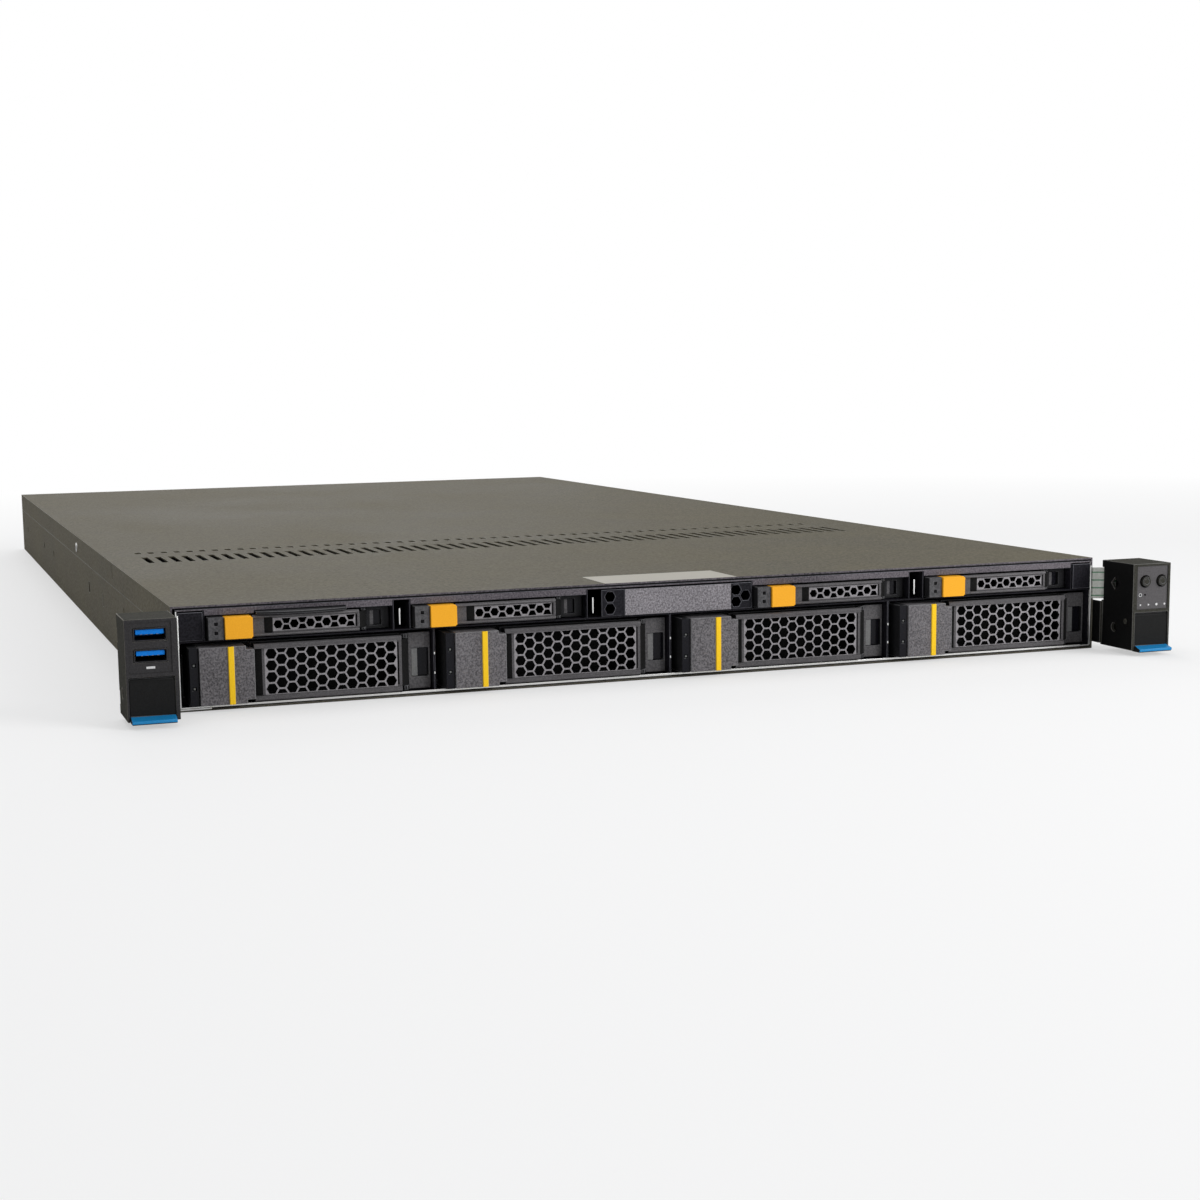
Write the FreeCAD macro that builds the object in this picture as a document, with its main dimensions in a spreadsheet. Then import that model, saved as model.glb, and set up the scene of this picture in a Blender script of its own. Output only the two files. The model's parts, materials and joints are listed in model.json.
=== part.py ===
import FreeCAD, Part
import math
import os
import re
from types import SimpleNamespace

from FreeCAD import Vector

# A 1U rack server: a steel chassis tray with a front drive cage, four large and four slim drive trays
# with honeycomb levers, two rack ears, six fans, a main board and two hot-swap power supplies.
# Millimetres. +X to the right seen from the front, +Y to the back, +Z up.
# X is 0 in the middle, Y is 0 at the front edge of the drive cage, Z is 0 under the chassis floor.

# ---------------------------------------------------------------- driving sizes

SIZES = {
    # chassis and covers
    "chassis_depth": 815.0,
    "sheet": 0.8,
    "fit_gap": 0.15,
    "seam_height": 31.6,
    "cable_gap": 1.0,
    "cover_gap": 0.55,
    "cover_front": 1.2,
    "cover_seam": 234.0,
    "cover_seam_gap": 0.6,
    "joggle_start": 36.0,
    # vents in the covers
    "vent_pitch": 6.8,
    "vent_width": 3.2,
    "vent_length": 31.0,
    "vent_back": 41.0,
    "vent_left_margin": 19.0,
    "vent_right_margin": 26.0,
    "dash_length": 8.0,
    "dash_back": 9.9,
    # side wall holes
    "rail_height": 19.5,
    "rail_hole_radius": 2.2,
    "rail_front_inset": 275.0,
    "rail_mid_inset": 203.0,
    "rail_rear_inset": 52.0,
    "rail_square_hole": 319.0,
    "rail_square": 6.0,
    "rail_slot": 251.0,
    "rail_slot_height": 7.0,
    "rail_slot_width": 2.6,
    "hook_slot_back": 31.0,
    "hook_slot_width": 2.2,
    "hook_slot_height": 7.5,
    "skirt_screw": 379.0,
    "skirt_screw_height": 37.0,
    "skirt_screw_radius": 1.6,
    "screw_head_radius": 2.7,
    "screw_head": 0.5,
    # drive cage
    "divider": 0.8,
    "cage_wall": 0.6,
    "cage_depth": 166.0,
    "floor_gap": 0.5,
    "large_bay_height": 26.55,
    "slim_bay_height": 12.5,
    "cage_lip": 2.3,
    "slim_left_inset": 12.5,
    "slim_right_inset": 11.9,
    "slim_pitch": 87.0,
    "slim_side_gap": 0.7,
    # large drive tray, from its own left edge
    "large_left_gap": 3.5,
    "large_right_gap": 0.4,
    "large_lift": 0.7,
    "large_side": 2.2,
    "large_height": 24.2,
    "large_strip": 3.9,
    "large_button": 22.7,
    "large_post_start": 0.0,
    "large_margin": 4.9,
    "large_edge": 2.3,
    "large_slot": 0.6,
    "large_rail": 2.0,
    "large_hex_flat": 4.15,
    "large_hex_web": 0.75,
    "large_rows": 4,
    "large_runner_height": 20.0,
    "large_runner_drop": 0.4,
    "large_drive_width": 101.6,
    "large_drive_length": 147.0,
    "large_drive_height": 26.0,
    "large_drive_start": 12.4,
    "large_window_left": 1.3,
    "large_window_width": 7.6,
    "large_window_low": 5.2,
    "large_window_height": 12.3,
    # slim drive tray, from its own left edge
    "slim_lift": 0.45,
    "slim_width": 77.6,
    "slim_height": 9.3,
    "slim_strip": 6.5,
    "slim_button": 11.5,
    "slim_post_start": 5.1,
    "slim_margin": 9.0,
    "slim_edge": 1.9,
    "slim_slot": 0.5,
    "slim_rail": 1.1,
    "slim_hex_flat": 3.2,
    "slim_hex_web": 0.73,
    "slim_rows": 1,
    "slim_runner_height": 7.2,
    "slim_runner_drop": 0.0,
    "slim_drive_width": 69.85,
    "slim_drive_length": 100.0,
    "slim_drive_height": 7.0,
    "slim_drive_start": 59.0,
    "slim_window_left": 1.5,
    "slim_window_width": 5.0,
    "slim_window_low": 1.4,
    "slim_window_height": 6.5,
    # shared by both kinds of tray
    "button_gap": 0.2,
    "button_proud": 5.0,
    "button_depth": 11.0,
    "button_travel": 1.5,
    "button_wall": 1.4,
    "stripe_start": 11.8,
    "stripe_width": 2.4,
    "stripe_proud": 0.6,
    "strip_proud": 4.0,
    "lever_gap": 0.4,
    "lever_face": 0.4,
    "lever_plate": 1.8,
    "lever_rail_proud": 1.4,
    "lever_rail_back": 3.0,
    "lever_chamfer": 0.6,
    "lever_post": 3.4,
    "lever_post_recess": 1.3,
    "lever_lap": 0.8,
    "pin_in": 2.2,
    "pin_depth": 3.3,
    "pin_radius": 0.7,
    "pin_root": 0.5,
    "pin_reach": 1.2,
    "barrel_radius": 1.5,
    "knuckle_gap": 0.2,
    "slot_margin": 0.45,
    "barrel_overlap": 0.8,
    "rail_lap": 0.5,
    "block_gap": 0.3,
    "block_least": 9.0,
    "block_recess": 4.0,
    "window_depth": 2.5,
    "frame_start": 5.2,
    "frame_back": 12.0,
    "frame_flange": 2.0,
    "runner": 1.45,
    "runner_gap": 0.1,
    "runner_length": 160.0,
    "slot_end": 0.8,
    "barrel_fit": 0.05,
    "led_size": 1.4,
    "led_depth": 0.6,
    "large_notch_width": 3.4,
    "large_notch_height": 1.6,
    "slim_notch_width": 0.5,
    "slim_notch_height": 0.5,
    "button_side_gap": 0.1,
    "drive_gap": 0.25,
    "lid_height": 1.5,
    "lid_side": 3.0,
    "lid_front": 4.0,
    "lid_rear": 12.0,
    "step_side": 12.0,
    "step_length": 5.0,
    # end blanks, centre blank and pull-out tag
    "blank_wall": 1.2,
    "blank_depth": 9.0,
    "blank_proud": 0.8,
    "blank_height": 11.6,
    "blank_gap": 0.3,
    "blank_left_gap": 5.9,
    "blank_left_field": 10.6,
    "blank_right_field": 10.3,
    "blank_panel_proud": 1.6,
    "blank_hex_left": 4.0,
    "blank_hex_margin": 0.3,
    "blank_hex_flat": 4.4,
    "blank_hex_pitch": 5.3,
    "tag_inset": 20.1,
    "tag_width": 37.8,
    "tag_thick": 1.1,
    "tag_gap": 0.3,
    "tag_out": 7.0,
    "tag_shoulder": 3.15,
    "tag_back": 60.0,
    # backplane
    "board": 1.6,
    "backplane_gap": 2.0,
    "backplane_side": 1.0,
    "backplane_window": 76.0,
    "backplane_window_low": 9.0,
    "backplane_window_height": 12.0,
    "connector_width": 42.0,
    "connector_height": 5.0,
    "connector_reach": 8.0,
    "slim_connector_width": 38.0,
    "connector_low": 2.0,
    "slim_connector_low": 0.5,
    # fans
    "fan_start": 262.0,
    "fan_size": 40.0,
    "fan_depth": 28.0,
    "fan_pitch": 68.0,
    "fan_bore": 19.0,
    "fan_hub": 10.5,
    "fan_tip_gap": 0.8,
    "fan_blades": 5,
    "fan_blade": 1.7,
    "fan_blade_lean": 8.2,
    "fan_blade_root": 7.4,
    "fan_blade_start": 5.0,
    "fan_blade_length": 15.0,
    "fan_shaft": 1.5,
    "fan_fit": 0.05,
    "fan_boss": 1.2,
    "fan_post": 9.0,
    "fan_end_gap": 1.0,
    "fan_strut": 3.0,
    "fan_lift": 0.4,
    "fan_wall": 1.5,
    # main board
    "main_fan_gap": 45.0,
    "main_psu_gap": 24.0,
    "main_port_gap": 2.0,
    "main_psu_side": 8.7,
    "main_margin": 3.5,
    "standoff": 5.0,
    "standoff_radius": 3.0,
    "standoff_inset": 12.0,
    "chipset_x": -45.0,
    "chipset_size": 30.0,
    "chipset_height": 6.0,
    "manager_x": -143.0,
    "manager_size": 14.0,
    "manager_height": 2.0,
    "chip_back": 65.0,
    "sink_width": 78.0,
    "sink_length": 108.0,
    "sink_x": 104.0,
    "sink_base": 5.0,
    "sink_height": 26.0,
    "sink_fins": 14,
    "sink_fin": 1.0,
    "socket_height": 4.0,
    "socket_side": 8.0,
    "socket_end": 16.0,
    "dimm_length": 133.4,
    "dimm_thick": 1.4,
    "dimm_height": 28.0,
    "dimm_pitch": 9.5,
    "dimm_count": 4,
    "dimm_gap": 8.0,
    "dimm_lift": 1.0,
    "dimm_socket_end": 4.0,
    "dimm_socket_width": 6.5,
    "dimm_socket_height": 5.5,
    # power supplies
    "psu_width": 73.5,
    "psu_height": 39.0,
    "psu_length": 185.0,
    "psu_gap": 1.5,
    "psu_lift": 0.4,
    "psu_side": 3.0,
    "psu_grille_radius": 15.0,
    "psu_grille_x": 21.0,
    "psu_grille_pitch": 3.0,
    "psu_grille_bar": 1.2,
    "psu_grille_depth": 1.6,
    "psu_grille_bars": 9,
    "psu_side_gap": 1.5,
    "inlet_width": 24.0,
    "inlet_height": 16.0,
    "inlet_depth": 14.0,
    "inlet_x": 50.0,
    "inlet_z": 24.0,
    "inlet_pin": 2.0,
    "inlet_pin_height": 6.0,
    "inlet_pin_pitch": 7.0,
    "inlet_pin_depth": 3.0,
    "handle_x": 38.0,
    "handle_width": 5.0,
    "handle_reach": 28.0,
    "handle_bar": 4.0,
    "handle_low": 5.0,
    "handle_high": 36.0,
    "handle_round": 4.0,
    "psu_latch_width": 12.0,
    "psu_latch_height": 3.0,
    "psu_latch_reach": 14.0,
    "psu_latch_gap": 0.2,
    "psu_latch_x": 46.0,
    "psu_latch_z": 4.0,
    "psu_ridge": 2.0,
    "psu_ridge_length": 3.0,
    # rear wall and ports
    "port_height": 12.5,
    "jack_width": 16.0,
    "jack_height": 13.5,
    "jack_mouth_width": 11.8,
    "jack_mouth_height": 8.2,
    "jack_depth": 21.0,
    "jack_cavity": 14.0,
    "jack_drop": 0.5,
    "port_proud": 0.4,
    "jack_inset": 97.25,
    "jack_pitch": 20.0,
    "usb_width": 13.1,
    "usb_height": 5.2,
    "usb_wall": 0.4,
    "usb_depth": 16.0,
    "usb_back": 3.0,
    "usb_tongue_gap": 0.3,
    "usb_tongue_inset": 1.0,
    "usb_tongue": 11.1,
    "usb_tongue_thick": 1.9,
    "usb_rear_inset": 67.25,
    "usb_rear_pitch": 8.0,
    "video_inset": 35.25,
    "video_width": 17.0,
    "video_height": 8.6,
    "video_flange": 31.0,
    "video_proud": 5.5,
    "video_taper": 1.6,
    "video_rim": 2.0,
    "video_plate": 2.2,
    "port_gap": 0.3,
    "bracket_width": 80.0,
    "bracket_height": 18.5,
    "bracket_x": -40.0,
    "bracket_low": 21.0,
    "bracket_lap": 3.0,
    "bracket_thick": 1.0,
    "bracket_gap": 0.2,
    "bracket_fold": 10.0,
    "bracket_vent": 5.0,
    "bracket_vent_pitch": 6.8,
    "bracket_vents": 9,
    "rear_vent": 5.6,
    "rear_vent_pitch": 7.6,
    "rear_vent_inset": 27.25,
    "rear_vent_end": 12.0,
    "rear_vent_low": 26.0,
    "rear_vent_rows": 2,
    # ears
    "ear_in_gap": 1.7,
    "ear_width": 20.6,
    "ear_front": 28.6,
    "ear_back": 4.3,
    "ear_low": 2.3,
    "ear_height": 40.5,
    "ear_inner_wall": 1.6,
    "ear_outer_wall": 1.0,
    "ear_face": 1.2,
    "ear_panel_recess": 0.4,
    "ear_panel_border": 0.8,
    "ear_panel_low": 21.4,
    "ear_opening_top": 19.9,
    "ear_flange": 1.2,
    "ear_flange_length": 30.0,
    "ear_flange_low": 3.2,
    "ear_flange_high": 23.2,
    "ear_screw_radius": 2.75,
    "ear_screw_inset": 8.75,
    "ear_screw_height": 5.95,
    "ear_hole_depth": 14.5,
    "ear_round_height": 11.9,
    "ear_round_radius": 2.2,
    "ear_cross_height": 32.7,
    "ear_cross": 4.2,
    "ear_notch_height": 5.3,
    "ear_notch_upper": 34.2,
    "ear_notch_lower": 9.0,
    "ear_notch_depth": 1.3,
    "usb_cut_gap": 0.15,
    "cable_way_gap": 0.4,
    "flap_gap": 0.2,
    "flap_recess": 0.4,
    "flap_thick": 1.6,
    "flap_top": 19.2,
    "flap_chamfer": 1.0,
    "flap_pin_height": 18.4,
    "flap_pin_in": 1.8,
    "flap_pivot_radius": 1.3,
    "lip_reach": 4.2,
    "lip_high": 3.9,
    "lip_low": 1.7,
    "lip_bevel": 0.6,
    "usb_recess": 0.2,
    "usb_upper": 36.7,
    "usb_lower": 28.3,
    "round_button_radius": 2.3,
    "round_button_gap": 0.2,
    "round_button_height": 34.5,
    "round_button_inset": 7.0,
    "round_button_pitch": 8.9,
    "round_button_proud": 1.0,
    "round_button_depth": 5.0,
    "round_dish_radius": 1.4,
    "round_dish_depth": 0.3,
    "round_collar": 0.7,
    "round_collar_gap": 0.8,
    "round_collar_thick": 1.0,
    "reset_radius": 0.5,
    "reset_height": 28.2,
    "ribbon_low": 24.2,
    "ribbon_high": 39.0,
    "ribbon_thick": 0.5,
    "ribbon_inset": 0.75,
    "ribbon_end": 28.0,
    "ribbon_plug": 5.0,
    "ribbon_plug_gap": 0.1,
    "ribbon_hook": 2.0,
    "ribbon_hook_back": 5.0,
    "ribbon_bend": 1.5,
    "ribbon_mouth": 0.6,
    "ribbon_ease": 0.4,
    "ribbon_clear": 1.2,
    "ribbon_front": 1.9,
    "ribbon_turn": 1.2,
    "ribbon_sway": 0.35,
    "ribbon_entry": 0.2,
}

# Sizes and places that follow from the driving ones.
PLACES = {
    "large_width": "large_drive_width + large_side",
    "large_pitch": "large_width + large_left_gap + large_right_gap + divider",
    "half_width": "2 * large_pitch - divider / 2 + cage_wall + cable_gap + sheet",
    "wall_in": "half_width - sheet",
    "joggle_out": "wall_in - fit_gap",
    "joggle_in": "joggle_out - sheet",
    "cage_out": "2 * large_pitch - divider / 2 + cage_wall",
    "cage_floor": "sheet + floor_gap",
    "large_floor": "cage_floor + cage_wall",
    "shelf_low": "large_floor + large_bay_height",
    "slim_floor": "shelf_low + cage_wall",
    "cage_top": "slim_floor + slim_bay_height",
    "cage_roof": "cage_top + cage_wall",
    "cover_under": "cage_roof + cover_gap",
    "chassis_height": "cover_under + sheet",
    "rear_cover_start": "cover_seam + cover_seam_gap",
    "vent_start": "cover_seam - vent_back",
    "dash_start": "rear_cover_start + dash_back",
    "hook_slot": "cover_seam - hook_slot_back",
    "vent_first_x": "vent_left_margin - half_width",
    "vent_count": "floor((half_width - vent_right_margin - vent_first_x) / vent_pitch) + 1",
    "rail_front_hole": "chassis_depth - rail_front_inset",
    "rail_mid_hole": "chassis_depth - rail_mid_inset",
    "rail_rear_hole": "chassis_depth - rail_rear_inset",
    "slim_first_x": "slim_left_inset - cage_out",
    "slim_second_x": "cage_out - slim_right_inset - slim_width - slim_pitch",
    "large_bay_width": "large_pitch - divider",
    "large_z": "large_floor + large_lift",
    "slim_z": "slim_floor + slim_lift",
    "large_drive_x": "large_bay_width / 2 - large_left_gap - large_drive_width / 2",
    "slim_drive_x": "slim_width / 2 - slim_drive_width / 2",
    "backplane_y": "cage_depth + backplane_gap",
    "blank_z": "slim_floor + blank_gap",
    "blank_beside": "slim_side_gap + cage_wall + blank_gap",
    "blank_left_x": "slim_first_x + slim_pitch + slim_width + blank_beside + blank_left_gap",
    "blank_right_x": "slim_second_x - blank_beside",
    "blank_panel_left": "blank_left_x + blank_left_field",
    "blank_panel_right": "blank_right_x - blank_right_field",
    "tag_left": "slim_first_x + tag_inset",
    "tag_right": "tag_left + tag_width",
    "tag_z": "slim_z + slim_height + tag_gap",
    "main_z": "sheet + standoff",
    "main_top": "main_z + board",
    "fan_z": "sheet + fan_lift",
    "fan_mid_z": "fan_z + fan_size / 2",
    "psu_z": "sheet + psu_lift",
    "psu_right_x": "wall_in - psu_side - psu_width",
    "psu_left_x": "psu_right_x - psu_gap - psu_width",
    "psu_y": "chassis_depth - psu_length",
    "rear_wall": "chassis_depth - sheet",
    "main_start": "fan_start + fan_depth + main_fan_gap",
    "main_step": "psu_y - main_psu_gap",
    "main_end": "chassis_depth - jack_depth - main_port_gap",
    "main_right": "psu_left_x - main_psu_side",
    "chip_row": "main_step + chip_back",
    "sink_middle": "(main_start + main_step) / 2",
    "sink_start": "sink_middle - sink_length / 2",
    "dimm_start": "sink_middle - dimm_length / 2",
    "jack_first": "jack_inset - joggle_in",
    "usb_rear_x": "usb_rear_inset - joggle_in",
    "video_x": "video_inset - joggle_in",
    "bracket_left": "bracket_x - bracket_width / 2",
    "bracket_right": "bracket_x + bracket_width / 2",
    "rear_vent_x": "rear_vent_inset - joggle_in",
    "rear_vent_columns": "floor((bracket_left - rear_vent_end - rear_vent_x) / rear_vent_pitch) + 1",
    "ear_in": "half_width + ear_in_gap",
    "ear_out": "ear_in + ear_width",
    "ear_top": "ear_low + ear_height",
    "usb_x": "ear_out - ear_outer_wall - (ear_width - ear_outer_wall - ear_inner_wall) / 2",
    "flap_pin_y": "flap_pin_in - ear_front",
    "id_button_x": "ear_in + round_button_inset",
    "power_button_x": "ear_in + round_button_inset + round_button_pitch",
    "button_stop": "button_depth - button_proud + button_travel + button_gap",
    "fan_rotor_start": "fan_start + fan_blade_start",
}
for kind in ("large", "slim"):
    PLACES.update({
        f"{kind}_button_x": f"{kind}_strip + button_gap",
        f"{kind}_button_end": f"{kind}_button_x + {kind}_button",
        f"{kind}_lever_x": f"{kind}_button_end + lever_gap",
        f"{kind}_hex_pitch": f"{kind}_hex_flat + {kind}_hex_web",
        f"{kind}_hex_wide": f"{kind}_hex_flat / cos(30)",
        f"{kind}_hex_step": f"{kind}_hex_pitch * cos(30)",
        f"{kind}_field_x": f"{kind}_lever_x + {kind}_margin",
        f"{kind}_field_room": f"{kind}_width - block_least - block_gap - barrel_radius - pin_in - {kind}_edge"
                              f" - {kind}_hex_wide - {kind}_field_x",
        f"{kind}_columns": f"floor({kind}_field_room / {kind}_hex_step) + 1",
        f"{kind}_field_end": f"{kind}_field_x + ({kind}_columns - 1) * {kind}_hex_step + {kind}_hex_wide",
        f"{kind}_face_end": f"{kind}_field_end + {kind}_edge",
        f"{kind}_pin_x": f"{kind}_face_end + pin_in",
        f"{kind}_block_x": f"{kind}_pin_x + barrel_radius + block_gap",
        f"{kind}_drive_z": f"{kind}_floor - {kind}_z + drive_gap",
    })

doc = FreeCAD.newDocument("RackServer")


def make_sheet(name, cells):
    """A spreadsheet with one named cell in column B for each entry."""
    table = doc.addObject("Spreadsheet::Sheet", name)
    for row, (alias, content) in enumerate(cells.items(), start=1):
        table.set(f"A{row}", alias)
        table.set(f"B{row}", content)
        table.setAlias(f"B{row}", alias)
    return table


def formula(text):
    """A formula in plain names, with each name read from the sheet that holds it."""
    def owner(match):
        name = match.group(0)
        if name in SIZES:
            return "Sizes." + name
        return "Places." + name if name in PLACES else name
    return re.sub(r"[a-z][a-z_]*", owner, text)


sizes = make_sheet("Sizes", {alias: str(value) for alias, value in SIZES.items()})
places = make_sheet("Places", {})
for row, (alias, text) in enumerate(PLACES.items(), start=1):
    places.set(f"A{row}", alias)
    places.set(f"B{row}", "=" + re.sub(r"\bPlaces\.", "", formula(text)))
    places.setAlias(f"B{row}", alias)
doc.recompute()
s = SimpleNamespace(**{alias: float(sizes.get(alias)) for alias in SIZES},
                    **{alias: float(places.get(alias)) for alias in PLACES})

# ---------------------------------------------------------------- tools

NODES = {}
TINY = 1e-6
OVER = 1.0  # cutters reach this far past the face they cut
LAP = 0.5  # fused pieces run this far into each other
ROUND_SIDES = 12  # facets of small round pieces
HUB_SIDES = 16
DUCT_SIDES = 20
FANS = 6
FAN_MIDDLE = (FANS - 1) / 2
LED_SHARES = (0.3, 0.7)  # heights of the two lights, as shares of the tray's height
INLET_PINS = ((-1, -1), (0, 2), (1, -1))  # sideways step and lift of each inlet pin
BARREL_SIDE = math.radians(20)  # where the barrel's side point lies on its circle
HEX_STEP = math.cos(math.radians(30))  # column step of a hex field, as a share of its pitch
AXES = ("x", "y", "z")
PLANES = {"top": ("XY_Plane", "z"), "front": ("XZ_Plane", "y"), "side": ("YZ_Plane", "x")}


def tie(item, prop, text):
    """Binds one property to the sheets."""
    item.setExpression(prop, formula(text))


def place(item, x="0", y="0", z="0"):
    for axis, text in zip(AXES, (x, y, z)):
        if text != "0":
            tie(item, "Placement.Base." + axis, text)
    return item


def box(x, y, z):
    """A block between two formulas along each axis."""
    block = doc.addObject("Part::Box", "Block")
    for prop, (low, high) in zip(("Length", "Width", "Height"), (x, y, z)):
        tie(block, prop, f"({high}) - ({low})")
    return place(block, x[0], y[0], z[0])


TURNS = {
    "x": FreeCAD.Rotation(Vector(0, 1, 0), 90),
    "y": FreeCAD.Rotation(Vector(1, 0, 0), -90),
    "z": FreeCAD.Rotation(),
}


def rod(axis, radius, start, length):
    """A cylinder along +X, +Y or +Z from its start point."""
    bar = doc.addObject("Part::Cylinder", "Rod")
    bar.Placement = FreeCAD.Placement(Vector(), TURNS[axis])
    tie(bar, "Radius", radius)
    tie(bar, "Height", length)
    return place(bar, *start)


def prism(axis, sides, radius, start, length):
    """A bar with a regular polygon for its section, for small round pieces and holes."""
    bar = doc.addObject("Part::Prism", "Prism")
    bar.Placement = FreeCAD.Placement(Vector(), TURNS[axis])
    bar.Polygon = sides
    tie(bar, "Circumradius", radius)
    tie(bar, "Height", length)
    return place(bar, *start)


def edges_of(loop):
    """Sketch edges of a closed outline. A corner is (u, v); an arc is its middle point and its end."""
    def point(pair):
        return Vector(pair[0], pair[1], 0)
    last = loop[-1][1] if isinstance(loop[-1][0], tuple) else loop[-1]
    edges = []
    for item in loop:
        if isinstance(item[0], tuple):
            edges.append(Part.Arc(point(last), point(item[0]), point(item[1])))
            last = item[1]
        else:
            edges.append(Part.LineSegment(point(last), point(item)))
            last = item
    return edges


def plate(plane, span, outline, holes=()):
    """A sketched outline with holes, padded between two formulas along the plane's normal."""
    role, axis = PLANES[plane]
    body = doc.addObject("PartDesign::Body", "Plate")
    sketch = body.newObject("Sketcher::SketchObject", "Outline")
    datum = next(item for item in body.Origin.OriginFeatures if item.Role == role)
    sketch.AttachmentSupport = [(datum, "")]
    sketch.MapMode = "FlatFace"
    for loop in (outline, *holes):
        if isinstance(loop, Part.Circle):
            sketch.addGeometry(loop, False)
        else:
            sketch.addGeometry(edges_of(loop), False)
    pad = body.newObject("PartDesign::Pad", "Pad")
    pad.Profile = sketch
    pad.Reversed = plane == "front"
    tie(pad, "Length", f"({span[1]}) - ({span[0]})")
    tie(body, "Placement.Base." + axis, span[0])
    return body


def rect(u0, u1, v0, v1):
    return [(u0, v0), (u1, v0), (u1, v1), (u0, v1)]


def ring(u, v, radius):
    return Part.Circle(Vector(u, v, 0), Vector(0, 0, 1), radius)


def polygon(u, v, radius, sides):
    turns = [2 * math.pi * (index + 0.5) / sides for index in range(sides)]
    return [(u + radius * math.cos(turn), v + radius * math.sin(turn)) for turn in turns]


def group(parts):
    """Several separate solids as one item."""
    if len(parts) == 1:
        return parts[0]
    bundle = doc.addObject("Part::Compound", "Group")
    bundle.Links = list(parts)
    return bundle


def fuse(*parts):
    joined = doc.addObject("Part::MultiFuse", "Joined")
    joined.Shapes = list(parts)
    joined.Refine = True
    return joined


def cut(base, *tools):
    rest = doc.addObject("Part::Cut", "Rest")
    rest.Base = base
    rest.Tool = group(tools)
    return rest


def mirror_x(item):
    twin = doc.addObject("Part::Mirroring", "Twin")
    twin.Source = item
    twin.Normal = Vector(1, 0, 0)
    return twin


def node(label, item, x="0", y="0", z="0"):
    """Names a finished sub-part and puts it in its place."""
    if item.TypeId in ("PartDesign::Body", "Part::Mirroring"):
        item = copy_of(item)
    item.Label = label
    NODES[label] = place(item, x, y, z)
    return item


def copy_of(item):
    """The same solids again, free to take a placement of their own."""
    bundle = doc.addObject("Part::Compound", "Group")
    bundle.Links = [item]
    return bundle


# ---------------------------------------------------------------- honeycomb

def hexagon(u, v, flat, low, high):
    """A hexagon with flat top and bottom, trimmed to the band between low and high."""
    half = flat / 2
    side = flat / math.sqrt(3)
    if v + half < high + TINY and v - half > low - TINY:
        return [(u + side * math.cos(math.radians(a)), v + side * math.sin(math.radians(a)))
                for a in range(0, 360, 60)]
    edge = high if v + half > high else low
    inner = v - half if edge == high else v + half
    reach = side / 2 + abs(edge - inner) / math.sqrt(3)
    corners = [(u - side / 2, inner), (u + side / 2, inner), (u + reach, edge), (u - reach, edge)]
    return corners if edge == high else corners[::-1]


def honeycomb(u0, v_mid, flat, web, columns, rows):
    """Holes of a hex field: whole columns, and between them columns that end in half holes."""
    pitch = flat + web
    step = pitch * HEX_STEP
    high = v_mid + (rows - 1) * pitch / 2 + flat / 2
    low = 2 * v_mid - high
    holes = []
    for column in range(int(columns)):
        u = u0 + flat / math.sqrt(3) + column * step
        shift = 0.0 if column % 2 == 0 else 0.5
        count = int(rows) if column % 2 == 0 else int(rows) + 1
        for row in range(count):
            v = v_mid + (row - (rows - 1) / 2 - shift) * pitch
            holes.append(hexagon(u, v, flat, low, high))
    return holes


# ---------------------------------------------------------------- chassis tray

def chassis_base():
    """Folded channel: floor and side walls with a joggled upper edge under the cover skirts."""
    outer, inner = s.half_width, s.wall_in
    low = [(-outer, 0), (outer, 0), (outer, s.seam_height), (inner, s.seam_height),
           (inner, s.sheet), (-inner, s.sheet), (-inner, s.seam_height), (-outer, s.seam_height)]
    channel = plate("front", ("0", "chassis_depth"), low)
    ledge_low = s.seam_height - s.sheet
    top = s.cover_under - s.fit_gap
    upper = []
    for side in (-1, 1):
        profile = [(side * s.wall_in, ledge_low), (side * s.wall_in, s.seam_height),
                   (side * s.joggle_out, s.seam_height), (side * s.joggle_out, top),
                   (side * s.joggle_in, top), (side * s.joggle_in, ledge_low)]
        upper.append(plate("front", ("joggle_start", "chassis_depth"), profile))
    return cut(fuse(channel, *upper), *side_holes())


def centred(u, v, width, height):
    return rect(u - width / 2, u + width / 2, v - height / 2, v + height / 2)


def rear_wall():
    """Riveted rear wall beside the power supplies, with cut-outs for ports and a blank slot, and vents."""
    around = 2 * s.port_gap
    holes = [centred(s.jack_first + index * s.jack_pitch, s.port_height, s.jack_width + around,
                     s.jack_height + around) for index in range(3)]
    for row in (-0.5, 0.5):
        holes.append(centred(s.usb_rear_x, s.port_height + row * s.usb_rear_pitch, s.usb_width + around,
                             s.usb_height + around))
    holes.append(centred(s.video_x, s.port_height, s.video_width + around, s.video_height + around))
    holes.append(centred(s.bracket_x, s.bracket_low + s.bracket_height / 2,
                         s.bracket_width - 2 * s.bracket_lap, s.bracket_height - 2 * s.bracket_lap))
    for row in range(int(s.rear_vent_rows)):
        for column in range(int(s.rear_vent_columns)):
            u = s.rear_vent_x + (column + (row % 2) / 2) * s.rear_vent_pitch
            holes.append(centred(u, s.rear_vent_low + row * s.rear_vent_pitch, s.rear_vent, s.rear_vent))
    outline = rect(-s.joggle_in, s.psu_left_x - s.psu_side_gap, s.sheet, s.cover_under - s.fit_gap)
    return plate("front", ("rear_wall", "chassis_depth"), outline, holes)


# Y and Z of the screw in each skirt, and start and length of a cutter that crosses both side walls.
SKIRT_HOLE = ("skirt_screw", "skirt_screw_height")
ACROSS = (f"-half_width - {OVER}", f"2 * (half_width + {OVER})")


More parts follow.
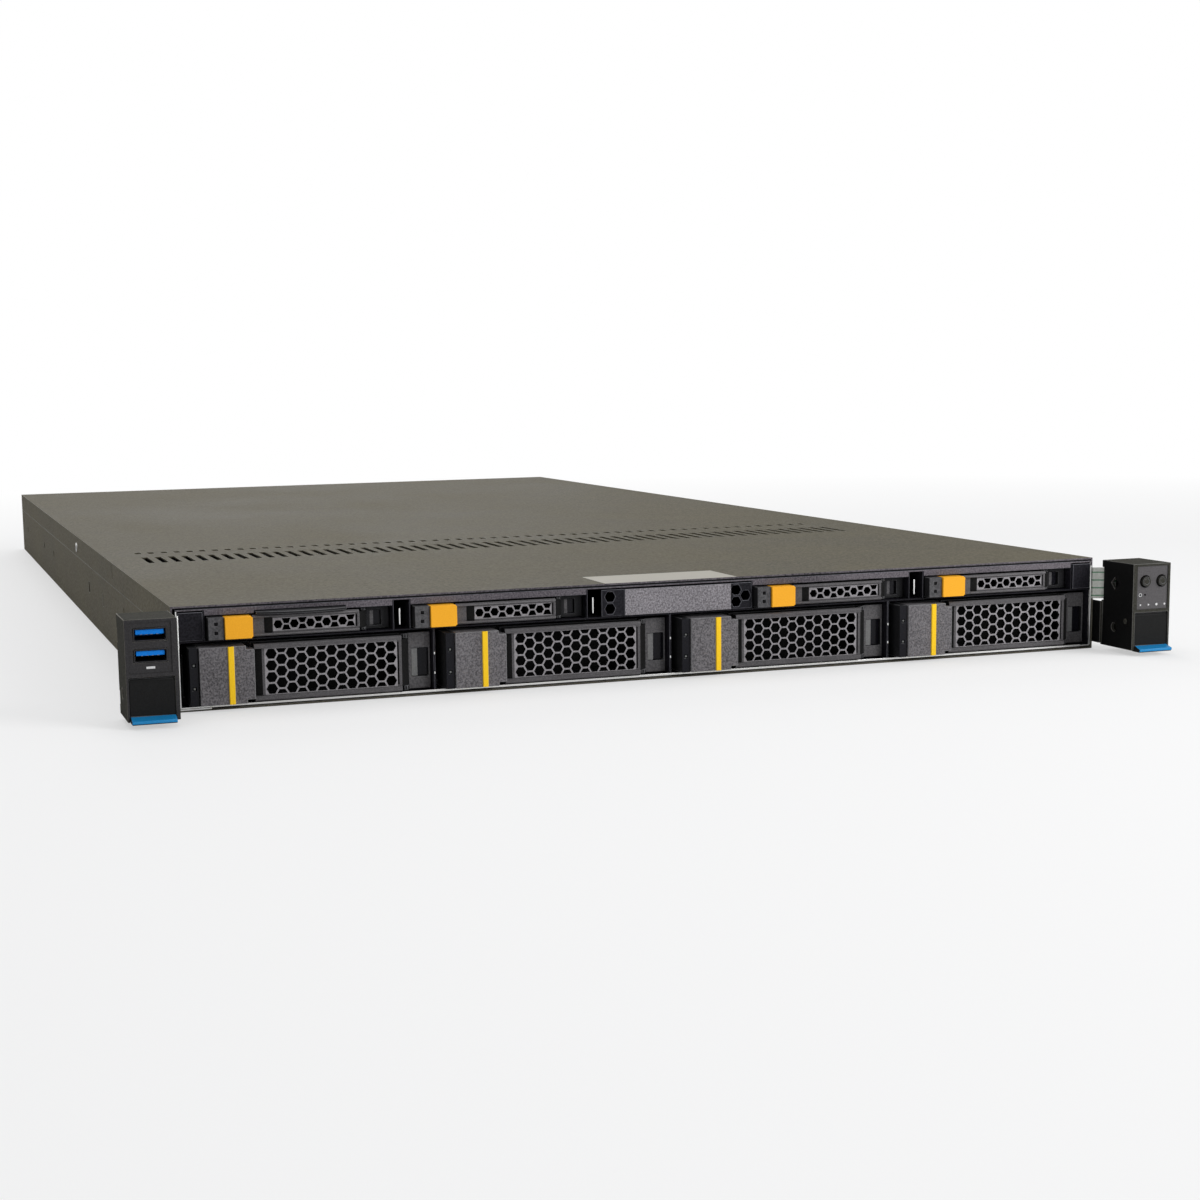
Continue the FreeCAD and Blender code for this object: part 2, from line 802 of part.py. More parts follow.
def side_holes():
    """Rail holes through both side walls."""
    tools = [rod("x", "rail_hole_radius", (ACROSS[0], hole, "rail_height"), ACROSS[1])
             for hole in ("rail_front_hole", "rail_mid_hole", "rail_rear_hole")]
    for y, wide, high in (("rail_square_hole", "rail_square", "rail_square"),
                          ("rail_slot", "rail_slot_width", "rail_slot_height")):
        tools.append(box((ACROSS[0], f"half_width + {OVER}"), (f"{y} - {wide} / 2", f"{y} + {wide} / 2"),
                         (f"rail_height - {high} / 2", f"rail_height + {high} / 2")))
    return tools


# ---------------------------------------------------------------- covers

def cover(start, end, vents):
    """A folded lid: top sheet with vents and two skirts that hang over the joggled walls."""
    value = vars(s)
    outline = rect(-s.half_width, s.half_width, value[start], value[end])
    top = plate("top", ("cover_under", "chassis_height"), outline, vents)
    skirts = [box(span, (start, end), ("seam_height + fit_gap", "cover_under"))
              for span in (("-half_width", "-wall_in"), ("wall_in", "half_width"))]
    return fuse(top, *skirts)


def vent_row(start, length):
    return [centred(s.vent_first_x + index * s.vent_pitch, start + length / 2, s.vent_width, length)
            for index in range(int(s.vent_count))]


def front_cover():
    lid = cover("cover_front", "cover_seam", vent_row(s.vent_start, s.vent_length))
    slot = box((ACROSS[0], f"half_width + {OVER}"),
               ("hook_slot - hook_slot_width / 2", "hook_slot + hook_slot_width / 2"),
               ("cover_under - hook_slot_height", "cover_under - fit_gap"))
    return cut(lid, slot)


def rear_cover():
    lid = cover("rear_cover_start", "chassis_depth", vent_row(s.dash_start, s.dash_length))
    return cut(lid, prism("x", ROUND_SIDES, "skirt_screw_radius", (ACROSS[0], *SKIRT_HOLE), ACROSS[1]))


def cover_screws():
    """Two low-head screws, one in each skirt of the rear cover."""
    screws = []
    for head, shank in (("-half_width - screw_head", "-half_width"), ("half_width", "half_width - sheet")):
        cap = prism("x", ROUND_SIDES, "screw_head_radius", (head, *SKIRT_HOLE), "screw_head")
        stem = prism("x", ROUND_SIDES, "skirt_screw_radius - fit_gap", (shank, *SKIRT_HOLE), "sheet")
        screws.append(fuse(cap, stem))
    return group(screws)


# ---------------------------------------------------------------- drive cage

def slim_left(index):
    """Formula for the left edge of a slim tray: two on the left, two on the right."""
    first = "slim_first_x" if index < 2 else "slim_second_x"
    return f"{first} + {index % 2} * slim_pitch"


def slim_left_value(index):
    first = s.slim_first_x if index < 2 else s.slim_second_x
    return first + (index % 2) * s.slim_pitch


def slim_bay(index):
    """Formulas for the two sides of a slim bay."""
    left = slim_left(index)
    return f"{left} - slim_side_gap", f"{left} + slim_width + slim_side_gap"


def large_bay_left(index):
    return (index - 2) * s.large_pitch + s.divider / 2


def drive_cage():
    """Egg-crate of sheets: floor, shelf and lipped roof, with uprights between the drive bays."""
    wide, deep = ("-cage_out", "cage_out"), ("0", "cage_depth")
    flats = [box(wide, deep, (z, f"{z} + cage_wall")) for z in ("cage_floor", "shelf_low")]
    lips = [box(slim_bay(index), ("0", "sheet"), ("cage_top - cage_lip", "cage_top")) for index in range(4)]
    slot = box(("tag_left - tag_gap", "tag_right + tag_gap"), (f"-{OVER}", f"sheet + {OVER}"),
               ("tag_z - tag_gap", "tag_z + tag_thick + tag_gap"))
    roof = cut(fuse(box(wide, deep, ("cage_top", "cage_roof")), *lips), slot)
    ends = [("-cage_out", "-cage_out + cage_wall"), ("cage_out - cage_wall", "cage_out")]
    lower = [(f"{index} * large_pitch - divider / 2", f"{index} * large_pitch + divider / 2")
             for index in (-1, 0, 1)]
    upper = []
    for index in range(4):
        left, right = slim_bay(index)
        upper += [(f"{left} - cage_wall", left), (right, f"{right} + cage_wall")]
    uprights = [box(span, deep, ("large_floor", "shelf_low")) for span in (*ends, *lower)]
    uprights += [box(span, deep, ("slim_floor", "cage_top")) for span in (*ends, *upper)]
    return group([*flats, roof, *uprights])


def end_blank(left, right):
    """Cap that is open at its back."""
    low, high = s.blank_z, s.blank_z + s.blank_height
    outer = plate("front", ("-blank_proud", "blank_depth"), rect(left, right, low, high))
    inner = plate("front", ("blank_wall - blank_proud", f"blank_depth + {OVER}"),
                  rect(left + s.blank_wall, right - s.blank_wall, low + s.blank_wall, high - s.blank_wall))
    return cut(outer, inner)


def upper_blanks():
    """Blank end pieces and the centre piece of the upper row, with hex vents beside its panel."""
    edge = s.cage_out - s.cage_wall - s.blank_gap
    ends = [end_blank(-edge, slim_left_value(0) - s.blank_beside),
            end_blank(slim_left_value(3) + s.slim_width + s.blank_beside, edge)]
    low, high = s.blank_z, s.blank_z + s.blank_height
    mid = (low + high) / 2
    half_hex = s.blank_hex_flat / math.sqrt(3)
    first = s.blank_panel_right + s.blank_hex_margin + half_hex
    columns = ((s.blank_left_x + s.blank_hex_left, (-0.5, 0.5)), (first, (-0.5, 0.5)),
               (first + s.blank_hex_pitch * HEX_STEP, (0, )))
    holes = [hexagon(u, mid + row * s.blank_hex_pitch, s.blank_hex_flat, low, high)
             for u, rows in columns for row in rows]
    face = plate("front", ("-blank_proud", "blank_wall - blank_proud"),
                 rect(s.blank_left_x, s.blank_right_x, low, high), holes)
    height = ("blank_z", "blank_z + blank_height")
    panel = box(("blank_panel_left", "blank_panel_right"), ("-blank_panel_proud", "0"), height)
    returns = [box((side, f"{side} + blank_wall"), ("0", "blank_depth"), height)
               for side in ("blank_panel_left", "blank_panel_right - blank_wall")]
    return group([*ends, fuse(face, panel, *returns)])


def pull_tag():
    """Flat tab with an arched front edge that slides in a slot over the first slim tray."""
    mid = (s.tag_left + s.tag_right) / 2
    outline = [(s.tag_right, s.tag_back), (s.tag_left, s.tag_back), (s.tag_left, -s.tag_shoulder),
               ((mid, -s.tag_out), (s.tag_right, -s.tag_shoulder))]
    return plate("top", ("tag_z", "tag_z + tag_thick"), outline)


# ---------------------------------------------------------------- drive trays

def tray(kind):
    """Tray with indicator strip, release housing, hinge knuckles, label block and side runners."""
    k = kind
    value = vars(s)
    height, rail = f"{k}_height", f"{k}_rail"
    front_depth = ("frame_back - frame_flange", "frame_back")
    strip = box(("0", f"{k}_strip"), ("-strip_proud", "frame_back"), ("0", height))
    housing = box((f"{k}_strip", f"{k}_button_end"), ("button_stop", "frame_back"), ("0", height))
    bars = [box((f"{k}_button_end", f"{k}_block_x"), ("frame_start", "frame_back"), span)
            for span in (("0", rail), (f"{height} - {rail}", height))]
    block = box((f"{k}_block_x", f"{k}_width"), ("block_recess", "frame_back"), ("0", height))
    opening = rect(value[f"{k}_button_x"], value[f"{k}_block_x"], value[rail], value[height] - value[rail])
    back = plate("front", front_depth, rect(0, value[f"{k}_width"], 0, value[height]), [opening])
    pin, depth, radius = value[f"{k}_pin_x"], s.pin_depth, s.barrel_radius
    facet = radius * math.tan(math.radians(22.5))
    back_end = s.frame_start + LAP
    web = [(pin - radius, back_end), (pin - radius, depth - facet), (pin - facet, depth - radius),
           (pin + facet, depth - radius), (pin + radius, depth - facet), (pin + radius, back_end)]
    knuckles = [plate("top", span, web) for span in (("0", rail), (f"{height} - {rail}", height))]
    pins = [rod("z", "pin_radius", (f"{k}_pin_x", "pin_depth", start), "pin_root + pin_reach")
            for start in (f"{rail} - pin_root", f"{height} - {rail} - pin_reach")]
    left_end, right_start = f"{k}_drive_x - runner_gap", f"{k}_drive_x + {k}_drive_width + runner_gap"
    runner_rise = (f"-{k}_runner_drop", f"{k}_runner_height")
    runners = [box(span, (front_depth[0], "runner_length"), runner_rise)
               for span in ((f"{left_end} - runner", left_end), (right_start, f"{right_start} + runner"))]
    flange = box((f"{left_end} - runner", f"{k}_width"), front_depth, ("0", rail))
    window = box((f"{k}_block_x + {k}_window_left", f"{k}_block_x + {k}_window_left + {k}_window_width"),
                 (f"block_recess - {OVER}", "block_recess + window_depth"),
                 (f"{k}_window_low", f"{k}_window_low + {k}_window_height"))
    lights = [box((f"{k}_strip / 2 - led_size / 2", f"{k}_strip / 2 + led_size / 2"),
                  (f"-strip_proud - {OVER}", "led_depth - strip_proud"),
                  (f"{height} * {share} - led_size / 2", f"{height} * {share} + led_size / 2"))
              for share in LED_SHARES]
    return cut(fuse(strip, housing, *bars, block, back, *knuckles, *pins, *runners, flange), window, *lights)


def lever(kind):
    """Honeycomb lever: perforated plate between two chamfered rails, bevelled to its hinge barrel."""
    k = kind
    value = vars(s)
    end, pin = value[f"{k}_face_end"], value[f"{k}_pin_x"]
    height, low = value[f"{k}_height"], value[f"{k}_rail"] + s.knuckle_gap
    between = (f"{k}_rail + knuckle_gap", f"{k}_height - {k}_rail - knuckle_gap")
    holes = honeycomb(value[f"{k}_field_x"], height / 2, value[f"{k}_hex_flat"], value[f"{k}_hex_web"],
                      value[f"{k}_columns"], value[f"{k}_rows"])
    slot_left = value[f"{k}_field_end"] + s.slot_margin
    holes.append(rect(slot_left, slot_left + value[f"{k}_slot"], low + s.slot_end, height - low - s.slot_end))
    start, post_low = value[f"{k}_lever_x"], value[f"{k}_lever_x"] + value[f"{k}_post_start"]
    face = plate("front", ("-lever_face", "lever_plate - lever_face"),
                 rect(post_low + s.lever_post, end, low, height - low), holes)
    post = box((f"{k}_lever_x", f"{k}_lever_x + {k}_post_start + lever_post + lever_lap"),
               ("lever_post_recess - lever_face", "lever_rail_back"), between)
    if post_low > start:
        face = fuse(face, plate("front", ("-lever_face", "lever_plate - lever_face"),
                                rect(start, post_low, low, height - low)), post)
    front, back = -s.lever_face - s.lever_rail_proud, s.lever_rail_back
    bevel, gap = s.lever_chamfer, s.knuckle_gap
    bottom = [(front, low), (back, low), (back, gap), (front + bevel, gap), (front, gap + bevel)]
    upper = [(u, height - v) for u, v in bottom]
    rails = [plate("side", (f"{k}_lever_x", f"{k}_face_end - barrel_overlap + rail_lap"), profile)
             for profile in (bottom, upper)]
    barrel = plate("top", between, barrel_outline(end, pin),
                   [ring(pin, s.pin_depth, s.pin_radius + s.barrel_fit)])
    return fuse(face, post, *rails, barrel)


def barrel_outline(face_end, pin):
    """Seen from above: the bevel from the face runs tangent to the round barrel on the pin."""
    start = (face_end, -s.lever_face)
    dx, dy = pin - start[0], s.pin_depth - start[1]
    span = math.hypot(dx, dy)
    heading = math.atan2(dy, dx) - math.asin(s.barrel_radius / span)
    run = math.sqrt(span ** 2 - s.barrel_radius ** 2)
    touch = (start[0] + run * math.cos(heading), start[1] + run * math.sin(heading))
    side = (pin + s.barrel_radius * math.cos(BARREL_SIDE),
            s.pin_depth + s.barrel_radius * math.sin(BARREL_SIDE))
    back = (pin, s.pin_depth + s.barrel_radius)
    left = face_end - s.barrel_overlap
    return [(left, -s.lever_face), start, touch, (side, back), (left, s.lever_rail_back)]


def button(kind):
    """Moulded release button: a cap open at the back, notched at its right corners."""
    k = kind
    value = vars(s)
    low, high, wall = value[f"{k}_button_x"], value[f"{k}_button_end"], s.button_wall
    bottom, top = s.button_side_gap, value[f"{k}_height"] - s.button_side_gap
    inner, rise = high - value[f"{k}_notch_width"], value[f"{k}_notch_height"]
    outline = [(low, bottom), (inner, bottom), (inner, bottom + rise), (high, bottom + rise),
               (high, top - rise), (inner, top - rise), (inner, top), (low, top)]
    cap = plate("front", ("-button_proud", "button_depth - button_proud"), outline)
    hollow = plate("front", ("button_wall - button_proud", f"button_depth - button_proud + {OVER}"),
                   rect(low + wall, high - wall, bottom + rise + wall, top - rise - wall))
    shell = cut(cap, hollow)
    if k == "slim":
        return shell
    stripe = box((f"{k}_button_x + stripe_start", f"{k}_button_x + stripe_start + stripe_width"),
                 ("-button_proud - stripe_proud", "-button_proud"),
                 ("button_side_gap", f"{k}_height - button_side_gap"))
    return fuse(shell, stripe)


def large_drive():
    """Hard drive: cast body with a stepped lid."""
    body = box(("0", "large_drive_width"), ("0", "large_drive_length"),
               ("0", "large_drive_height - lid_height"))
    lid = box(("lid_side", "large_drive_width - lid_side"), ("lid_front", "large_drive_length - lid_rear"),
              ("large_drive_height - lid_height", "large_drive_height"))
    return fuse(body, lid)


def slim_drive():
    """Solid-state drive: flat case with a connector step at its rear."""
    end = "slim_drive_start + slim_drive_length"
    body = box(("slim_drive_x", "slim_drive_x + slim_drive_width"), ("slim_drive_start", end),
               ("slim_drive_z", "slim_drive_z + slim_drive_height"))
    step = box(("slim_drive_x + step_side", "slim_drive_x + slim_drive_width - step_side"),
               (f"{end} - step_length", f"{end} + {OVER}"),
               (f"slim_drive_z - {OVER}", "slim_drive_z + slim_drive_height / 2"))
    return cut(body, step)


# ---------------------------------------------------------------- backplane, fans, main board

def drive_backplane():
    """Board across the chassis behind the cage, with air windows and one connector for each drive."""
    windows, plugs = [], []
    depth = ("backplane_y - connector_reach", "backplane_y")
    low = s.large_floor + s.backplane_window_low
    for index in range(4):
        mid = large_bay_left(index) + s.large_bay_width / 2
        windows.append(rect(mid - s.backplane_window / 2, mid + s.backplane_window / 2,
                            low, low + s.backplane_window_height))
        for centre, width, z in (
                (f"({index} - 2) * large_pitch + divider / 2 + large_bay_width / 2", "connector_width",
                 "large_floor + connector_low"),
                (f"{slim_left(index)} + slim_width / 2", "slim_connector_width",
                 "slim_z + slim_drive_z + slim_connector_low")):
            plugs.append(box((f"{centre} - {width} / 2", f"{centre} + {width} / 2"), depth,
                             (z, f"{z} + connector_height")))
    half = s.joggle_in - s.backplane_side
    outline = rect(-half, half, s.cage_floor, s.cage_roof)
    return group([plate("front", ("backplane_y", "backplane_y + board"), outline, windows), *plugs])


def fan_x(index):
    return f"({index} - {FAN_MIDDLE}) * fan_pitch"


def fan_housing(index):
    """Square housing with a round duct; two struts at its back carry the stator and the shaft."""
    x, mid, half = (index - FAN_MIDDLE) * s.fan_pitch, s.fan_mid_z, s.fan_size / 2
    duct = plate("front", ("fan_start", "fan_start + fan_depth"),
                 rect(x - half, x + half, mid - half, mid + half), [polygon(x, mid, s.fan_bore, DUCT_SIDES)])
    back = ("fan_start + fan_depth - fan_strut", "fan_start + fan_depth")
    reach = f"(fan_bore + {LAP})"
    struts = [box((f"{fan_x(index)} - {wide}", f"{fan_x(index)} + {wide}"), back,
                  (f"fan_mid_z - {high}", f"fan_mid_z + {high}"))
              for wide, high in (("fan_strut / 2", reach), (reach, "fan_strut / 2"))]
    stator = prism("y", ROUND_SIDES, "fan_hub - fan_end_gap",
                   (fan_x(index), "fan_start + fan_depth - fan_strut - fan_end_gap", "fan_mid_z"),
                   "fan_strut + fan_end_gap")
    shaft_start = "fan_rotor_start + fan_wall + fan_end_gap"
    shaft = rod("y", "fan_shaft", (fan_x(index), shaft_start, "fan_mid_z"),
                f"fan_start + fan_depth - fan_end_gap - ({shaft_start})")
    return fuse(duct, *struts, stator, shaft)


def fan_rotor():
    """Hub cup with slanted blades, on the Y axis at the origin."""
    origin = ("0", "0", "0")
    hub = prism("y", HUB_SIDES, "fan_hub", origin, "fan_blade_length")
    cup = prism("y", HUB_SIDES, "fan_hub - fan_wall", ("0", "fan_wall", "0"), "fan_blade_length")
    post = prism("y", ROUND_SIDES, "fan_shaft + fan_boss", ("0", f"fan_wall - {LAP}", "0"), "fan_post")
    bore = rod("y", "fan_shaft + fan_fit", ("0", f"fan_wall + {LAP}", "0"), "fan_blade_length")
    tip = "sqrt((fan_bore - fan_tip_gap)^2 - (fan_blade_lean / 2 + fan_blade)^2)"
    lean, thick = s.fan_blade_lean / 2, s.fan_blade
    outline = [(-lean, 0), (-lean + thick, 0), (lean + thick, s.fan_blade_length), (lean, s.fan_blade_length)]
    blades = []
    for index in range(int(s.fan_blades)):
        blade = copy_of(plate("top", ("fan_blade_root", tip), outline))
        turn = FreeCAD.Rotation(Vector(0, 1, 0), index * 360 / s.fan_blades)
        blade.Placement = FreeCAD.Placement(Vector(), turn)
        blades.append(blade)
    return fuse(cut(fuse(hub, *blades), cup), cut(post, bore))


def motherboard():
    """L-shaped board on standoffs: full width at the front, beside the power supplies at the back."""
    right = s.joggle_in - s.main_margin
    outline = [(-right, s.main_start), (right, s.main_start), (right, s.main_step),
               (s.main_right, s.main_step), (s.main_right, s.main_end), (-right, s.main_end)]
    board = plate("top", ("main_z", "main_top"), outline)
    spots = [(x, y) for x in ("-joggle_in + standoff_inset", "main_right - standoff_inset")
             for y in ("main_start + standoff_inset", "main_step", "main_end - standoff_inset")]
    spots.append(("joggle_in - standoff_inset", "main_start + standoff_inset"))
    feet = [prism("z", 6, "standoff_radius", (x, y, "sheet"), "standoff") for x, y in spots]
    chips = [box((f"{chip}_x - {chip}_size / 2", f"{chip}_x + {chip}_size / 2"),
                 (f"chip_row - {chip}_size / 2", f"chip_row + {chip}_size / 2"),
                 ("main_top", f"main_top + {chip}_height")) for chip in ("chipset", "manager")]
    return fuse(board, *feet, *chips)


def heatsink(side):
    """Processor socket with a comb-shaped cooler: fins along the air flow on a solid base."""
    left, right = side * s.sink_x - s.sink_width / 2, side * s.sink_x + s.sink_width / 2
    reach = "sink_width / 2 - socket_side"
    low = s.main_top + s.socket_height
    base_top, top = low + s.sink_base, low + s.sink_height
    step = (s.sink_width - s.sink_fin) / (s.sink_fins - 1)
    comb = [(right, low), (left, low), (left, top)]
    for fin in range(int(s.sink_fins) - 1):
        start, end = left + fin * step + s.sink_fin, left + (fin + 1) * step
        comb += [(start, top), (start, base_top), (end, base_top), (end, top)]
    comb.append((right, top))
    cooler = plate("front", ("sink_start", "sink_start + sink_length"), comb)
    socket = box((f"{side} * sink_x - ({reach})", f"{side} * sink_x + {reach}"),
                 ("sink_start + socket_end", "sink_start + sink_length - socket_end"),
                 ("main_top", "main_top + socket_height"))
    return fuse(cooler, socket)


def memory_modules():
    """Modules on edge in their sockets, in a bank on each side of each processor."""
    items = []
    for side in (-1, 1):
        for hand in (-1, 1):
            for index in range(int(s.dimm_count)):
                x = f"({side} * sink_x + {hand} * (sink_width / 2 + dimm_gap + {index} * dimm_pitch))"
                card = box((f"{x} - dimm_thick / 2", f"{x} + dimm_thick / 2"),
                           ("dimm_start", "dimm_start + dimm_length"),
                           ("main_top + dimm_lift", "main_top + dimm_height"))
                socket = box((f"{x} - dimm_socket_width / 2", f"{x} + dimm_socket_width / 2"),
                             ("dimm_start - dimm_socket_end", "dimm_start + dimm_length + dimm_socket_end"),
                             ("main_top", "main_top + dimm_socket_height"))
                items.append(fuse(card, socket))
    return group(items)


# ---------------------------------------------------------------- power supplies

def power_supply():
    """Steel can with inlet, round fan grille and a loop handle. Origin at its left front foot."""
    mid_z = s.psu_height / 2
    front = box(("0", "psu_width"), ("0", "psu_length - inlet_depth"), ("0", "psu_height"))
    face = plate("front", ("psu_length - inlet_depth", "psu_length"), rect(0, s.psu_width, 0, s.psu_height),
                 [centred(s.inlet_x, s.inlet_z, s.inlet_width, s.inlet_height),
                  polygon(s.psu_grille_x, mid_z, s.psu_grille_radius, DUCT_SIDES)])
    bars, reach = [], f"(psu_grille_radius + {LAP})"
    for row in range(int(s.psu_grille_bars)):
        z = f"(psu_height / 2 + ({row} - (psu_grille_bars - 1) / 2) * psu_grille_pitch)"
        bars.append(box((f"psu_grille_x - {reach}", f"psu_grille_x + {reach}"),
                        ("psu_length - psu_grille_depth", "psu_length"),
                        (f"{z} - psu_grille_bar / 2", f"{z} + psu_grille_bar / 2")))
    pins = [box((f"inlet_x + {step} * inlet_pin_pitch - inlet_pin / 2",
                 f"inlet_x + {step} * inlet_pin_pitch + inlet_pin / 2"),
                ("psu_length - inlet_depth", "psu_length - inlet_pin_depth"),
                (f"inlet_z + {lift} - inlet_pin_height / 2", f"inlet_z + {lift} + inlet_pin_height / 2"))
            for step, lift in INLET_PINS]
    return fuse(front, face, *bars, *pins, handle())


def handle():
    """Loop handle: a flat bar with rounded corners, open towards the can."""
    reach, curve, bar = s.handle_reach, s.handle_round, s.handle_bar
    low, high = s.handle_low, s.handle_high
    away = curve * (1 - math.sin(math.radians(45)))
    outer = [(-LAP, low), (reach - curve, low), ((reach - away, low + away), (reach, low + curve)),
             (reach, high - curve), ((reach - away, high - away), (reach - curve, high)), (-LAP, high)]
    inner = rect(-LAP, reach - bar, low + bar, high - bar)
    points = [(-LAP, low), *outer[1:], (-LAP, high - bar), inner[2], inner[1], (-LAP, low + bar)]
    return place(plate("side", ("handle_x", "handle_x + handle_width"), points), y="psu_length", x="handle_x")


def psu_latch():
    """Thumb tab beside the handle; it slides sideways to free the supply."""
    tab = box(("0", "psu_latch_width"), ("psu_latch_gap", "psu_latch_reach"), ("0", "psu_latch_height"))
    ridge = box(("0", "psu_ridge"), ("psu_latch_reach - psu_ridge_length", "psu_latch_reach"),
                ("0", "psu_latch_height + psu_ridge"))
    return fuse(tab, ridge)


# ---------------------------------------------------------------- rear ports

def network_jack(index):
    x, end = f"(jack_first + {index} * jack_pitch)", "chassis_depth + port_proud"
    middle = "port_height - jack_drop"
    shell = box((f"{x} - jack_width / 2", f"{x} + jack_width / 2"), ("chassis_depth - jack_depth", end),
                ("port_height - jack_height / 2", "port_height + jack_height / 2"))
    mouth = box((f"{x} - jack_mouth_width / 2", f"{x} + jack_mouth_width / 2"),
                ("chassis_depth - jack_cavity", f"{end} + {OVER}"),
                (f"{middle} - jack_mouth_height / 2", f"{middle} + jack_mouth_height / 2"))
    return cut(shell, mouth)


def video_port():
    """Flange behind the wall and a tapered shell that stands out through it."""
    rise = "(video_height / 2 + video_rim)"
    flange = box(("video_x - video_flange / 2", "video_x + video_flange / 2"),
                 ("rear_wall - bracket_gap - video_plate", "rear_wall - bracket_gap"),
                 (f"port_height - {rise}", f"port_height + {rise}"))
    half = s.video_width / 2
    low, high = s.port_height - s.video_height / 2, s.port_height + s.video_height / 2
    outline = [(s.video_x - half, high), (s.video_x + half, high), (s.video_x + half - s.video_taper, low),
               (s.video_x - half + s.video_taper, low)]
    shell = plate("front", (f"rear_wall - bracket_gap - {LAP}", "chassis_depth + video_proud"), outline)
    return fuse(flange, shell)


def rear_ports():
    """Three network jacks, two stacked USB sockets and the video socket behind the rear wall."""
    items = [network_jack(index) for index in range(3)]
    for row in (-0.5, 0.5):
        items.append(usb_socket("usb_rear_x", "chassis_depth + port_proud - usb_depth",
                                f"(port_height + {row} * usb_rear_pitch)", 1))
    items.append(video_port())
    return group(items)


def usb_socket(x, y, z, facing):
    """Rectangular metal shell closed at its inner end, with a contact tongue in its upper half.

    y is the shell's lower Y end; facing is +1 for a mouth at +Y and -1 for a mouth at -Y.
    """
    half, wall, end = "usb_width / 2", "usb_wall", f"{y} + usb_depth"
    shell = box((f"{x} - {half}", f"{x} + {half}"), (y, end),
                (f"{z} - usb_height / 2", f"{z} + usb_height / 2"))
    if facing > 0:
        cavity = (f"{y} + usb_back", f"{end} + {OVER}")
        reach = (f"{y} + usb_back - {LAP}", f"{end} - usb_tongue_inset")
    else:
        cavity = (f"{y} - {OVER}", f"{end} - usb_back")
        reach = (f"{y} + usb_tongue_inset", f"{end} - usb_back + {LAP}")
    mouth = box((f"{x} - {half} + {wall}", f"{x} + {half} - {wall}"), cavity,
                (f"{z} - usb_height / 2 + {wall}", f"{z} + usb_height / 2 - {wall}"))
    tongue_top = f"{z} + usb_height / 2 - {wall} - usb_tongue_gap"
    tongue = box((f"{x} - usb_tongue / 2", f"{x} + usb_tongue / 2"), reach,
                 (f"{tongue_top} - usb_tongue_thick", tongue_top))
    return fuse(cut(shell, mouth), tongue)


def slot_bracket():
    """Blank bracket behind the expansion slot, with vents and a folded top edge."""
    low, high = s.bracket_low, s.bracket_low + s.bracket_height
    holes = []
    for row in (-0.5, 0.5):
        for column in range(int(s.bracket_vents)):
            u = s.bracket_x + (column - (s.bracket_vents - 1) / 2) * s.bracket_vent_pitch
            v = (low + high) / 2 + row * s.bracket_vent_pitch
            holes.append(centred(u, v, s.bracket_vent, s.bracket_vent))
    face = plate("front", ("rear_wall - bracket_gap - bracket_thick", "rear_wall - bracket_gap"),
                 rect(s.bracket_left, s.bracket_right, low, high), holes)
    top = "bracket_low + bracket_height"
    fold = box(("bracket_left", "bracket_right"),
               ("rear_wall - bracket_gap - bracket_fold", "rear_wall - bracket_gap"),
               (f"{top} - bracket_thick", top))
    return fuse(face, fold)


# ---------------------------------------------------------------- rack ears

def ear_shell():
    """Right-hand ear: folded housing, rack flange behind it and a bracket back along the chassis."""
    inside = ("ear_in + ear_inner_wall", "ear_out - ear_outer_wall")
    front, back = "(-ear_front)", "(-ear_back)"
    before = f"{front} - {OVER}"
    block = box(("ear_in", "ear_out"), (front, back), ("ear_low", "ear_top"))
    cavity = box(inside, (f"{front} + ear_face", f"{back} - ear_face"),
                 (f"ear_low - {OVER}", "ear_top - ear_face"))
    mouth = box(inside, (before, f"{front} + ear_face + {OVER}"), (f"ear_low - {OVER}", "ear_opening_top"))
    recess = box((f"{inside[0]} + ear_panel_border", f"{inside[1]} - ear_panel_border / 2"),
                 (before, f"{front} + ear_panel_recess"), ("ear_panel_low", "ear_top - ear_face"))
    screw = rod("y", "ear_screw_radius",
                ("ear_out - ear_screw_inset", f"{back} - ear_face - {OVER}", "ear_screw_height"),
                f"ear_face + 2 * {OVER}")
    round_hole = prism("x", HUB_SIDES, "ear_round_radius",
                       (f"ear_in - {OVER}", "-ear_hole_depth", "ear_round_height"),
                       f"ear_width + 2 * {OVER}")
    diamond = copy_of(box((f"ear_in - {OVER}", f"ear_in + ear_inner_wall + {OVER}"),
                          ("-ear_cross / 2", "ear_cross / 2"), ("-ear_cross / 2", "ear_cross / 2")))
    diamond.Placement = FreeCAD.Placement(Vector(), FreeCAD.Rotation(Vector(1, 0, 0), 45))
    place(diamond, y="-ear_hole_depth", z="ear_cross_height")
    notches = [box((f"ear_out - ear_outer_wall - {OVER}", f"ear_out + {OVER}"),
                   (f"{back} - ear_notch_depth", f"{back} + {OVER}"),
                   (f"{z} - ear_notch_height / 2", f"{z} + ear_notch_height / 2"))
               for z in ("ear_notch_upper", "ear_notch_lower")]
    cable_way = box((f"ear_in - {OVER}", "ear_in + 2 * ear_inner_wall"),
                    (f"{back} - ear_face - ribbon_plug_gap", f"{back} + {OVER}"),
                    ("ribbon_low - cable_way_gap", "ribbon_high + cable_way_gap"))
    housing = cut(block, cavity, mouth, recess, screw, round_hole, diamond, *notches, cable_way)
    beside, tall = "half_width + fit_gap", ("ear_flange_low", "ear_flange_high")
    bridge = box((beside, f"ear_in + {LAP}"), (f"{back} - ear_face", back), tall)
    bracket = box((beside, f"{beside} + ear_flange"),
                  (f"{back} - ear_face", f"{back} + ear_flange_length"), tall)
    return fuse(housing, bridge, bracket)


# A cutter through the front panel of an ear.
PANEL = (f"-ear_front - {OVER}", f"ear_face + 2 * {OVER}")


